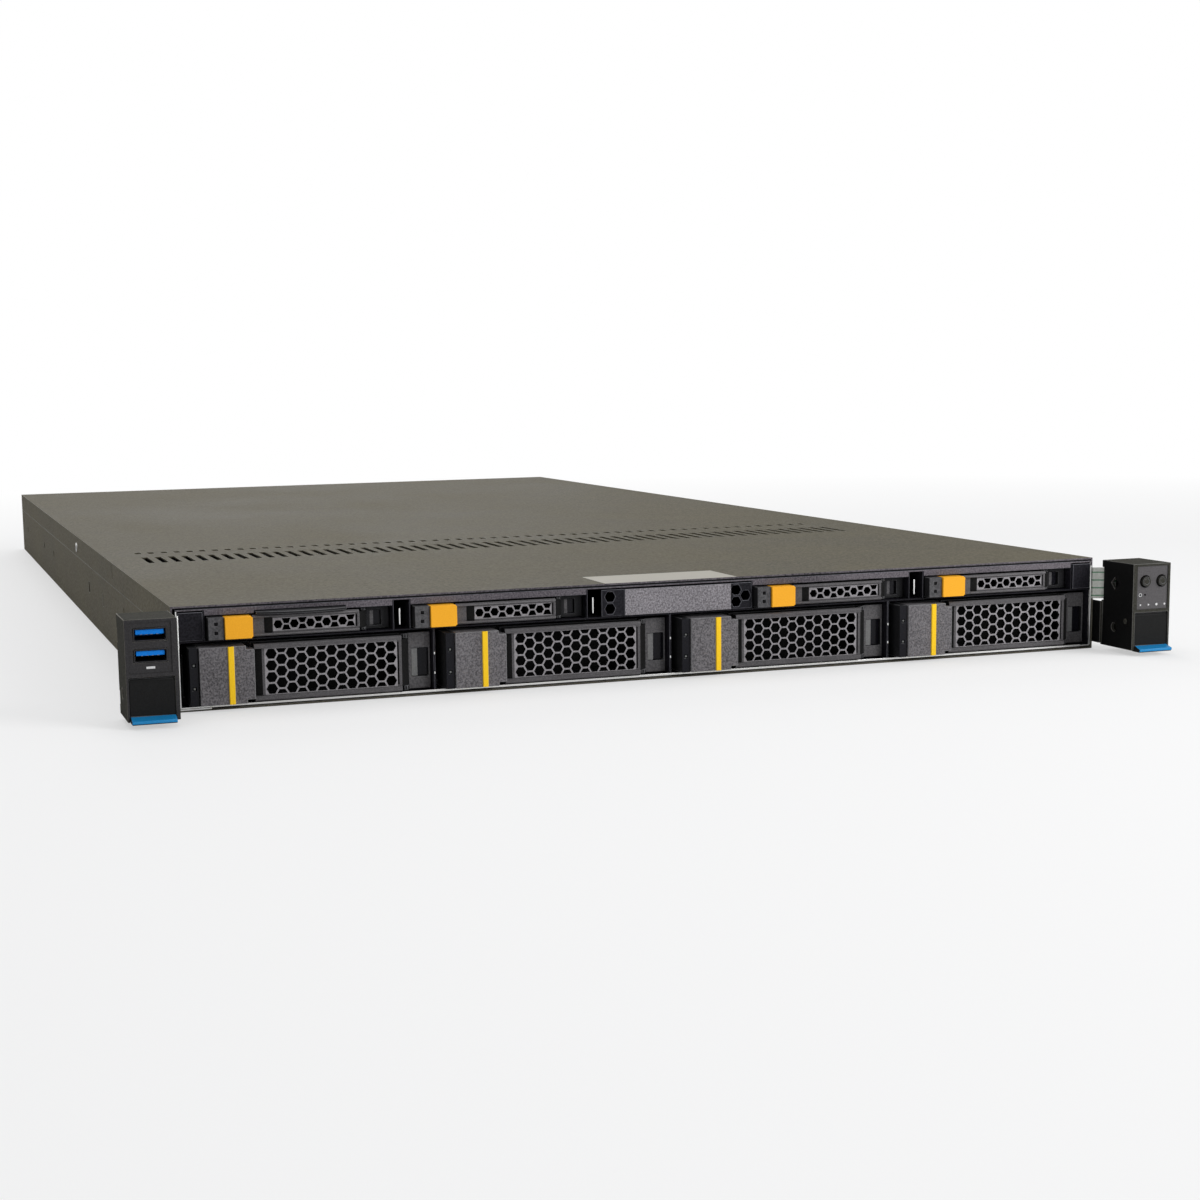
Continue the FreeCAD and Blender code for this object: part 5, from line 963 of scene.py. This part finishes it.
# %% Labels, windows and light pipes
RECESS_AT, RECESS_WIDE = {"large": 1.6, "slim": 1.8}, {"large": 7.6, "slim": 5.0}
RECESS_LOW, RECESS_HIGH = {"large": 7.8, "slim": 30.9}, {"large": 20.1, "slim": 37.4}
PALE_WIDE = {"large": 2.7, "slim": 1.6}
STRIP_WIDE = {"large": 3.9, "slim": 6.5}
PIPE_LOW, PIPE_STEP = {"large": 9.86, "slim": 32.29}, {"large": 9.68, "slim": 3.72}
FINISH_OF = {"large": (LABEL, LENS), "slim": (BLOCK, BLACK)}
for number in (1, 2, 3, 4):
    for kind, (pale_finish, pipe_finish) in FINISH_OF.items():
        lever_shade_wedge(kind, number)
        tray = f"{kind}_tray_{number}"
        pale, wide = PALE_WIDE[kind], RECESS_WIDE[kind]
        left = span(f"{kind}_lever_{number}")[1].x + RECESS_AT[kind]
        tall = RECESS_HIGH[kind] - RECESS_LOW[kind] - 0.3
        middle = (RECESS_LOW[kind] + RECESS_HIGH[kind]) / 2
        label = brick((pale, 1.9, tall), edge=0.15)
        rows(f"{kind}_label_{number}", label, tray, pale_finish, (left + pale / 2 + 0.1, 5.45, middle))
        pane = brick((wide - pale - 0.3, 0.9, tall), edge=0.15)
        rows(f"{kind}_window_{number}", pane, tray, GLASS, (left + (wide + pale) / 2, 5.95, middle))
        pipe = brick((0.9, 0.5, 0.9), edge=0.15)
        across = span(f"{kind}_button_{number}")[0].x - 0.2 - STRIP_WIDE[kind] / 2
        rows(f"{kind}_light_pipes_{number}", pipe, tray, pipe_finish,
             (across, span(tray)[0].y + 0.4, PIPE_LOW[kind]), up=(0, 0, PIPE_STEP[kind]), levels=2)
print("drive fronts dressed")

# %% [markdown]
# ## Cage tabs, springs and a strip of painted shade
# The uprights of the cage carry small bent tabs that guide the trays. Their bare ends show as
# bright points in the dark gaps, and so do the contact springs beside the slim trays. A thin
# black strip, painted shade, fills the gap between the cage's roof and the front cover.

# %% Tabs and springs
BAY_WIDTH, TAB_LOW, TAB_RISE = 108.5, 9.5, 8.4
SPRING_AWAY, SPRING_MIDDLE = 13.97, 34.4
tab = brick((0.6, 0.6, 1.1), edge=0.12)
rows("guide_tabs", tab, "drive_cage", STEEL, (-BAY_WIDTH, 0.1, TAB_LOW), across=(BAY_WIDTH, 0, 0),
     count=3, up=(0, 0, TAB_RISE), levels=2)
spring = brick((0.7, 0.5, 7.0), edge=0.15)
for number in (1, 2, 3, 4):
    lever_end = span(f"slim_lever_{number}")[1].x
    rows(f"cage_spring_{number}", spring, "drive_cage", STEEL,
         (lever_end + SPRING_AWAY, 0.6, SPRING_MIDDLE))
print("cage tabs and springs placed")

# %% Bright hems and the strip of painted shade
low, high = span("drive_cage")
floor_hem = brick((high.x - low.x - 18, 0.5, 1.1), edge=0.2)
rows("floor_hem", floor_hem, "drive_cage", STEEL, (4.0, -0.05, 1.8))
corner_hem = brick((13, 0.5, 0.9), edge=0.2)
rows("corner_hem", corner_hem, "drive_cage", STEEL, (low.x + 7.0, -0.05, 1.0))
wall_hem = brick((0.7, 0.5, 38.0), edge=0.2)
rows("wall_hem", wall_hem, "drive_cage", STEEL, (low.x + 0.6, -1.2, 21.0),
     across=(high.x - low.x - 1.2, 0, 0), count=2)
# Painted shade: a black strip in the gap between the cage's roof and the cover.
gap_shade_strip = brick((2 * high.x - 6, 0.5, 0.6), edge=0.1)
rows("cover_gasket", gap_shade_strip, "drive_cage", BLACK, (0, 0.9, high.z + 0.3))
print("hems and gasket placed")

# %% [markdown]
# ## Ear details
# The right ear's panel has two push buttons, a pinhole for a hidden switch with a ring printed
# round its sign, and a row of four small status signs. Plain shapes stand for the signs. The left
# ear has a printed socket sign under its USB sockets. Prints are paper thin, a tenth of a
# millimetre here, and stand just proud of the panel so that they catch light of their own.

# %% Signs and rings of the right ear
SIGN_ROW, SIGN_HEIGHT, SIGN_PITCH = 225.3, 23.5, 4.4
SIGN_SIDES = {"first": 3, "second": 3, "third": 10, "fourth": 4}
panel_front = span("right_ear")[0].y + 0.4
ring = lathe(((0.85, 0), (0.85, 0.06), (0.55, 0.06), (0.55, 0)), facing="-y")
rows("reset_ring", ring, "right_ear", PRINT, (225.1, panel_front, 28.2))
for place, (sign, sides) in enumerate(SIGN_SIDES.items()):
    dot = lathe(((0.62, 0), (0.62, 0.05), (0.5, 0.07)), sides=sides, facing="-y")
    rows(f"status_sign_{sign}", dot, "right_ear", PRINT,
         (SIGN_ROW + place * SIGN_PITCH, panel_front, SIGN_HEIGHT))
collar = lathe(((2.95, 0), (2.95, 0.15), (2.55, 0.15), (2.55, 0)), sides=24, facing="-y")
rows("button_rings", collar, "right_ear", EAR_BLACK_AND_SHADE, (227.7, panel_front, 34.5), across=(8.9, 0, 0),
     count=2)
EAR_RIVET = ((1.35, 0), (1.35, 0.15), (1.1, 0.4), (0.5, 0.45), (0.4, 0.2))
rows("ear_rivet", lathe(EAR_RIVET, facing="-x"), "right_ear", EAR,
     (220.7, -23.5, 15.6))
print("right ear has", len(SIGN_SIDES), "status signs")

# %% Sign and contacts of the left ear
mark = brick((3.4, 0.08, 0.9), edge=0.02)
rows("socket_sign", mark, "left_ear", PRINT, (-231.5, span("left_ear")[0].y + 0.38, 23.6))
contact = brick((0.9, 7.0, 0.12), edge=0.03)
for level, height in (("upper", 36.65), ("lower", 28.25)):
    rows(f"usb_contacts_{level}", contact, "usb_ports", GOLD, (-234.6, -23.5, height),
         across=(2.1, 0, 0), count=4)
print("left ear dressed")

# %% [markdown]
# ## Drives in their trays
# A drive shows when its tray is pulled out: a cast case with a stamped lid, screws round its edge
# and a blank sticker. Its front end is painted near black as painted shade, for the shadow of the
# honeycomb in front of it.
# The thin drives are part of their trays in the frame, so only their upper face is painted.

# %% Large drives
LID_SCREW = ((2.1, 0), (2.1, 0.08), (1.7, 0.16), (0.7, 0.16), (0.6, 0.05))
MOTOR_RING = ((17.0, 0), (17.0, 0.1), (15.6, 0.16), (13.0, 0.16), (12.4, 0.03))
SCREW_IN, SCREW_BACK, MOTOR_AT, STICKER_AT = 5, 9, 45, 100
lid_screw = lathe(LID_SCREW, sides=12)
motor_ring = lathe(MOTOR_RING, sides=40)
sticker = brick((72, 58, 0.16), edge=0.05)
for number in (1, 2, 3, 4):
    drive = f"large_drive_{number}"
    case = dressed(drive, CASE, STEEL, width=0.5)
    low, high = span(drive)
    # Painted shade on the drive's front end.
    paint(case, DRIVE_FRONT_SHADE, low - AROUND, (high.x + 1, low.y + 1, high.z + 1))
    middle = (low.x + high.x) / 2
    rows(f"lid_screws_{number}", lid_screw, drive, STEEL, (low.x + SCREW_IN, low.y + SCREW_BACK, high.z),
         across=(high.x - low.x - 2 * SCREW_IN, 0, 0), count=2,
         up=(0, (high.y - low.y) / 2 - SCREW_BACK, 0), levels=3)
    rows(f"motor_ring_{number}", motor_ring, drive, STEEL, (middle, low.y + MOTOR_AT, high.z))
    rows(f"drive_sticker_{number}", sticker, drive, STICKER, (middle, low.y + STICKER_AT, high.z + 0.06))
print("four large drives dressed")

# %% Thin drives
THIN_DEPTH, THIN_FRONT = 2.5, 58
thin_sticker = brick((56, 62, 0.16), edge=0.05)
for number in (1, 2, 3, 4):
    tray = f"slim_tray_{number}"
    low, high = span(tray)
    top = high.z - THIN_DEPTH
    lid = paint(bpy.data.objects[f"{tray}_dressed"], CASE, (low.x, THIN_FRONT, top - 0.3),
                (high.x, high.y, top + 0.3), facing=UP)
    rows(f"thin_sticker_{number}", thin_sticker, tray, STICKER,
         ((low.x + high.x) / 2, 108, top + 0.06))
print("four thin drives dressed, lid faces on each:", lid)

# %% [markdown]
# ## Side walls
# The chassis is riveted to the cage and the ears. The rivets have low domed heads, and the two
# cover screws have a star recess, drawn as a dark disc of painted shade. Every head stands a few
# tenths of a millimetre off the wall.

# %% Rivets and screw recesses
WALL_RIVET = ((1.7, -0.1), (1.7, 0.08), (1.3, 0.28), (0.6, 0.36))
STAR = ((1.25, -0.1), (1.25, 0.03), (0.2, 0.03))
RIVET_LOW, RIVET_RISE = 8.0, 16
walls, caps = span("chassis_base"), span("cover_screws")
for side, facing, wall, cap in (("left", "-x", walls[0].x, caps[0].x), ("right", "x", walls[1].x, caps[1].x)):
    head = lathe(WALL_RIVET, sides=14, facing=facing)
    rows(f"{side}_wall_rivets", head, "chassis_base", COAT, (wall, 36, RIVET_LOW), across=(0, 62, 0),
         count=3, up=(0, 0, RIVET_RISE), levels=2)
    rows(f"{side}_rear_rivets", head, "chassis_base", COAT, (wall, 800, RIVET_LOW),
         up=(0, 0, RIVET_RISE), levels=2)
    # The recess is a near-black disc: painted shade.
    star = lathe(STAR, sides=6, facing=facing)
    rows(f"{side}_screw_star", star, "cover_screws", EAR_BLACK_AND_SHADE, (cap, 379.0, 37.0))
print("walls riveted")

# %% [markdown]
# ## The rear
# Behind the wall sit three network jacks, two USB sockets and a video socket. Jacks need their
# eight gilded contacts and two indicator lenses, sockets their blue tongues, and the video socket
# its two hexagonal posts and fifteen pin holes. The wall is held by pan head screws.

# %% Network jacks
JACKS, JACK_PITCH, WALL_BACK = (-120, -100, -80), 20, 815.3
JACK_WIDE, JACK_LOW, JACK_HIGH, JACK_DEPTH = 12.2, 7.0, 18.0, 795
pin = brick((0.45, 7.0, 0.2), edge=0.04)
rows("jack_contacts", pin, "rear_ports", GOLD, (-123.57, 809.5, 15.6), across=(1.02, 0, 0), count=8,
     up=(JACK_PITCH, 0, 0), levels=len(JACKS))
lamp = brick((2.0, 0.4, 1.3), edge=0.1)
for color, lens, x in (("green", LENS_GREEN, -126.2), ("amber", LENS_AMBER, -113.8)):
    rows(f"jack_lamps_{color}", lamp, "rear_ports", lens, (x, WALL_BACK, JACK_HIGH),
         up=(JACK_PITCH, 0, 0), levels=len(JACKS))
for middle in JACKS:
    paint(ports, BLACK, (middle - JACK_WIDE / 2, JACK_DEPTH, JACK_LOW),
          (middle + JACK_WIDE / 2, WALL_BACK - 0.1, JACK_HIGH))
print(len(JACKS), "network jacks dressed")

# %% Rear USB and video sockets
paint(ports, BLACK, (-157, 799.9, 6.2), (-143.2, WALL_BACK, 19), but=BACK)
for top in (19.1, 11.1):
    paint(ports, TONGUE, (-155.6, 800, top - 2.8), (-144.4, WALL_BACK, top - 0.6))
usb_contact = brick((0.9, 6.0, 0.12), edge=0.03)
rows("rear_usb_contacts", usb_contact, "rear_ports", GOLD, (-153.1, 809.5, 16.45),
     across=(2.1, 0, 0), count=4, up=(0, 0, -8), levels=2)
paint(ports, VIDEO, (-191, 820.3, 8), (-173, 820.7, 17))
HEX_POST = ((2.7, 0), (2.7, 4.6), (2.3, 5.0), (1.3, 5.0), (1.2, 3.0))
hex_post = lathe(HEX_POST, sides=6, facing="y")
rows("video_posts", hex_post, "rear_ports", STEEL, (-194.5, 815.0, 12.5), across=(25, 0, 0), count=2)
# The pin holes are black discs: painted shade in the holes.
pin_hole = lathe(((0.6, -0.2), (0.6, 0.04), (0.1, 0.04)), sides=10, facing="y")
rows("video_pin_holes", pin_hole, "rear_ports", BLACK, (-186.6, 820.5, 10.5),
     across=(2.3, 0, 0), count=5, up=(0, 0, 2.0), levels=3)
print("rear sockets dressed")

# %% Screws and lamps of the wall and the supplies
PAN_SCREW = ((2.6, 0), (2.6, 0.5), (2.1, 1.1), (0.9, 1.25), (0.8, 0.6))
SUPPLY_LAMP = ((1.3, 0), (1.3, 0.3), (0.9, 0.7), (0.4, 0.85))
CORNER = 4.2
pan = lathe(PAN_SCREW, facing="y")
bead = lathe(SUPPLY_LAMP, sides=14, facing="y")
rows("rear_wall_screws", pan, "rear_wall", STEEL, (-212.0, span("rear_wall")[1].y, 37.5),
     across=(270.0, 0, 0), count=2)
for number in (1, 2):
    supply = f"psu_{number}"
    low, high = span(supply)
    back = high.y - HANDLE_REACH
    rows(f"supply_screws_{number}", pan, supply, STEEL, (low.x + CORNER, back, low.z + CORNER),
         across=(high.x - low.x - 2 * CORNER, 0, 0), count=2,
         up=(0, 0, high.z - low.z - 2 * CORNER), levels=2)
    rows(f"supply_lamp_{number}", bead, supply, LENS_GREEN, (low.x + 66.5, back, low.z + 30.0))
print("rear dressed")

# %% [markdown]
# ## On the main board
# The main board is filled in with what a server board carries: chokes and capacitors in front of
# each cooler, expansion slots, power sockets, a clock battery, and fields of tiny parts. All of it
# follows the board's own top and the places of the coolers.

# %% Chokes and capacitors
board_top = span("memory_modules")[0].z
board_low, board_high = span("motherboard")
sink_low, sink_high = span("heatsinks")
CHOKE_ROW, CAN_ROW, REAR_CAN_ROW = sink_low.y - 30, sink_low.y - 42, sink_high.y + 22
CAN = ((3.0, 0), (3.0, 0.8), (2.8, 1.0), (3.0, 1.2), (3.0, 7.0), (2.7, 7.4))
choke = brick((8.0, 8.0, 5.0), edge=0.6)
can = lathe(CAN, sides=14)
for side, start in (("left", sink_low.x + 3), ("right", sink_high.x - 75)):
    rows(f"{side}_chokes", choke, "motherboard", CHIP, (start, CHOKE_ROW, board_top + 2.5),
         across=(10.3, 0, 0), count=8)
    rows(f"{side}_capacitors", can, "motherboard", SINK, (start, CAN_ROW, board_top),
         across=(10.3, 0, 0), count=8)
    rows(f"{side}_rear_capacitors", can, "motherboard", SINK, (start, REAR_CAN_ROW, board_top),
         across=(14.4, 0, 0), count=6)
print("regulators beside the coolers made")

# %% Slots and sockets of the board
SLOT_LEFT, SLOT_MIDDLE, SLOT_PITCH, SLOT_TALL = -62.0, 700.0, 42.0, 11.0
edge = brick((7.4, 89.0, SLOT_TALL), edge=0.4)
rows("expansion_slots", edge, "motherboard", BLACK, (SLOT_LEFT, SLOT_MIDDLE, board_top + SLOT_TALL / 2),
     across=(SLOT_PITCH, 0, 0), count=3)
groove = brick((1.8, 84.0, 0.3), edge=0.05)
rows("slot_grooves", groove, "motherboard", GOLD, (SLOT_LEFT, SLOT_MIDDLE, board_top + SLOT_TALL + 0.05),
     across=(SLOT_PITCH, 0, 0), count=3)
power = brick((10.0, 26.0, 10.0), edge=0.5)
rows("power_sockets", power, "motherboard", SOCKET, (board_high.x - 168, 590, board_top + 5.0),
     up=(0, -34, 0), levels=2)
header = brick((5.6, 17.0, 7.0), edge=0.3)
rows("data_headers", header, "motherboard", BLACK, (board_low.x + 8, 560, board_top + 3.5),
     up=(0, 21, 0), levels=6)
print("slots and sockets made")

# %% Small parts of the board
CLOCK_CELL = ((10.4, 0), (10.4, 1.5), (10.0, 1.8), (10.0, 3.4), (9.5, 3.7))
FIELDS = (("front", -28, 380, 14, 8), ("middle", -26, 450, 12, 22), ("back", -205, 672, 22, 9),
          ("near_cells", -150, 570, 18, 5), ("right", 70, 570, 26, 4))
cell = lathe(CLOCK_CELL, sides=32)
rows("clock_cell", cell, "motherboard", STEEL, (-100.0, 610.0, board_top))
chip = brick((9.0, 9.0, 1.4), edge=0.15)
rows("small_chips", chip, "motherboard", CHIP, (-190.0, 600.0, board_top + 0.7),
     across=(33, 0, 0), count=7, up=(0, 46, 0), levels=2)
speck = brick((1.1, 2.0, 0.7), edge=0.1)
for place, x, y, columns, lines in FIELDS:
    rows(f"resistors_{place}", speck, "motherboard", CASE, (x, y, board_top + 0.3),
         across=(4.4, 0, 0), count=columns, up=(0, 5.2, 0), levels=lines)
spread = brick((24.0, 24.0, 1.2), edge=0.5)
rows("chipset_lid", spread, "motherboard", SINK, (-45.0, 671.0, board_high.z + 0.3))
print(len(FIELDS), "fields of resistors made")

# %% [markdown]
# ## Memory and fans
# Every memory module gets its chips on both faces and a clip at each end. The modules stand in
# four groups of four, one on each side of both coolers. Each fan gets a disc on its hub, a finger
# tab and a socket on the board. A pair of wires hangs from each fan down to the floor and up to
# its socket, each along a NURBS curve through a few points.

# %% Memory chips and clips
COOLER_AT, MODULE_PITCH, GROUP_AWAY, CHIP_OFF = 104.0, 9.5, 47.0, 1.1
ram = brick((1.0, 9.6, 12.5), edge=0.12)
clip = brick((5.2, 3.2, 9.0), edge=0.4)
for side in (-1, 1):
    for hand in (-1, 1):
        group = f"{'left' if side < 0 else 'right'}_{'outer' if side == hand else 'inner'}"
        first = side * COOLER_AT + hand * GROUP_AWAY
        for letter, out in (("a", -CHIP_OFF), ("b", CHIP_OFF)):
            rows(f"memory_chips_{group}_{letter}", ram, "memory_modules", CHIP,
                 (first + out, 412.5, board_top + 16.5), across=(0, 15.8, 0), count=8,
                 up=(hand * MODULE_PITCH, 0, 0), levels=4)
        rows(f"memory_clips_{group}", clip, "memory_modules", SOCKET, (first, 401.6, board_top + 9.0),
             across=(0, 137.8, 0), count=2, up=(hand * MODULE_PITCH, 0, 0), levels=4)
print("memory modules dressed")

# %% Fan tabs, sockets and hub discs
FANS, FAN_PITCH = 6, 68.0
FIRST_FAN = -(FANS - 1) / 2 * FAN_PITCH
HUB_DISC = ((9.5, 0), (9.5, 0.12), (9.0, 0.2), (2.0, 0.2), (1.8, 0.1))
fan_low, fan_high = span("fan_housings")
fan_middle = (fan_low + fan_high) / 2
tab = brick((16.0, 9.0, 0.8), edge=0.2)
rows("fan_tabs", tab, "fan_housings", BLUE, (FIRST_FAN, fan_middle.y, fan_high.z + 0.35),
     across=(FAN_PITCH, 0, 0), count=FANS)
fan_socket = brick((9.0, 5.0, 6.0), edge=0.3)
rows("fan_headers", fan_socket, "fan_housings", SOCKET, (FIRST_FAN + 15, board_low.y + 6, board_top + 3.0),
     across=(FAN_PITCH, 0, 0), count=FANS)
disc = lathe(HUB_DISC, sides=28, facing="-y")
for number in range(1, FANS + 1):
    rotor = f"fan_rotor_{number}"
    rows(f"hub_disc_{number}", disc, rotor, LABEL,
         (FIRST_FAN + (number - 1) * FAN_PITCH, span(rotor)[0].y, fan_middle.z))
print(FANS, "fans dressed")


# %% Fan leads
def cable_unit(pulls, radius):
    """A round wire along a NURBS curve that starts and ends at the outer points, in millimetres."""
    curve = bpy.data.curves.new("cable", "CURVE")
    curve.dimensions = "3D"
    curve.resolution_u = 6
    curve.bevel_depth = radius
    curve.bevel_resolution = 2
    curve.use_fill_caps = True
    spline = curve.splines.new("NURBS")
    spline.points.add(len(pulls) - 1)
    for point, place in zip(spline.points, pulls):
        point.co = (*place, 1)
    spline.order_u = 3
    spline.use_endpoint_u = True
    host = bpy.data.objects.new("cable", curve)
    bpy.context.scene.collection.objects.link(host)
    graph = bpy.context.evaluated_depsgraph_get()
    shape = bmesh.new()
    shape.from_mesh(bpy.data.meshes.new_from_object(host.evaluated_get(graph)))
    bpy.data.objects.remove(host)
    bmesh.ops.remove_doubles(shape, verts=shape.verts, dist=0.01)
    return unit_object(shape)


FAN_LEAD = ((0, -0.5, 5), (0, 6, 3), (0, 22, 2.4), (0, 41, 2.4), (0, 42, 18), (0, 50.5, 12.5))
LEAD_RADIUS, LEAD_GAP = 1.1, 3.0
lead = cable_unit(FAN_LEAD, LEAD_RADIUS)
rows("fan_leads", lead, "fan_housings", BLACK, (FIRST_FAN + 13.5, fan_high.y, 0),
     across=(LEAD_GAP, 0, 0), count=2, up=(FAN_PITCH, 0, 0), levels=FANS)
print("fan leads hung")
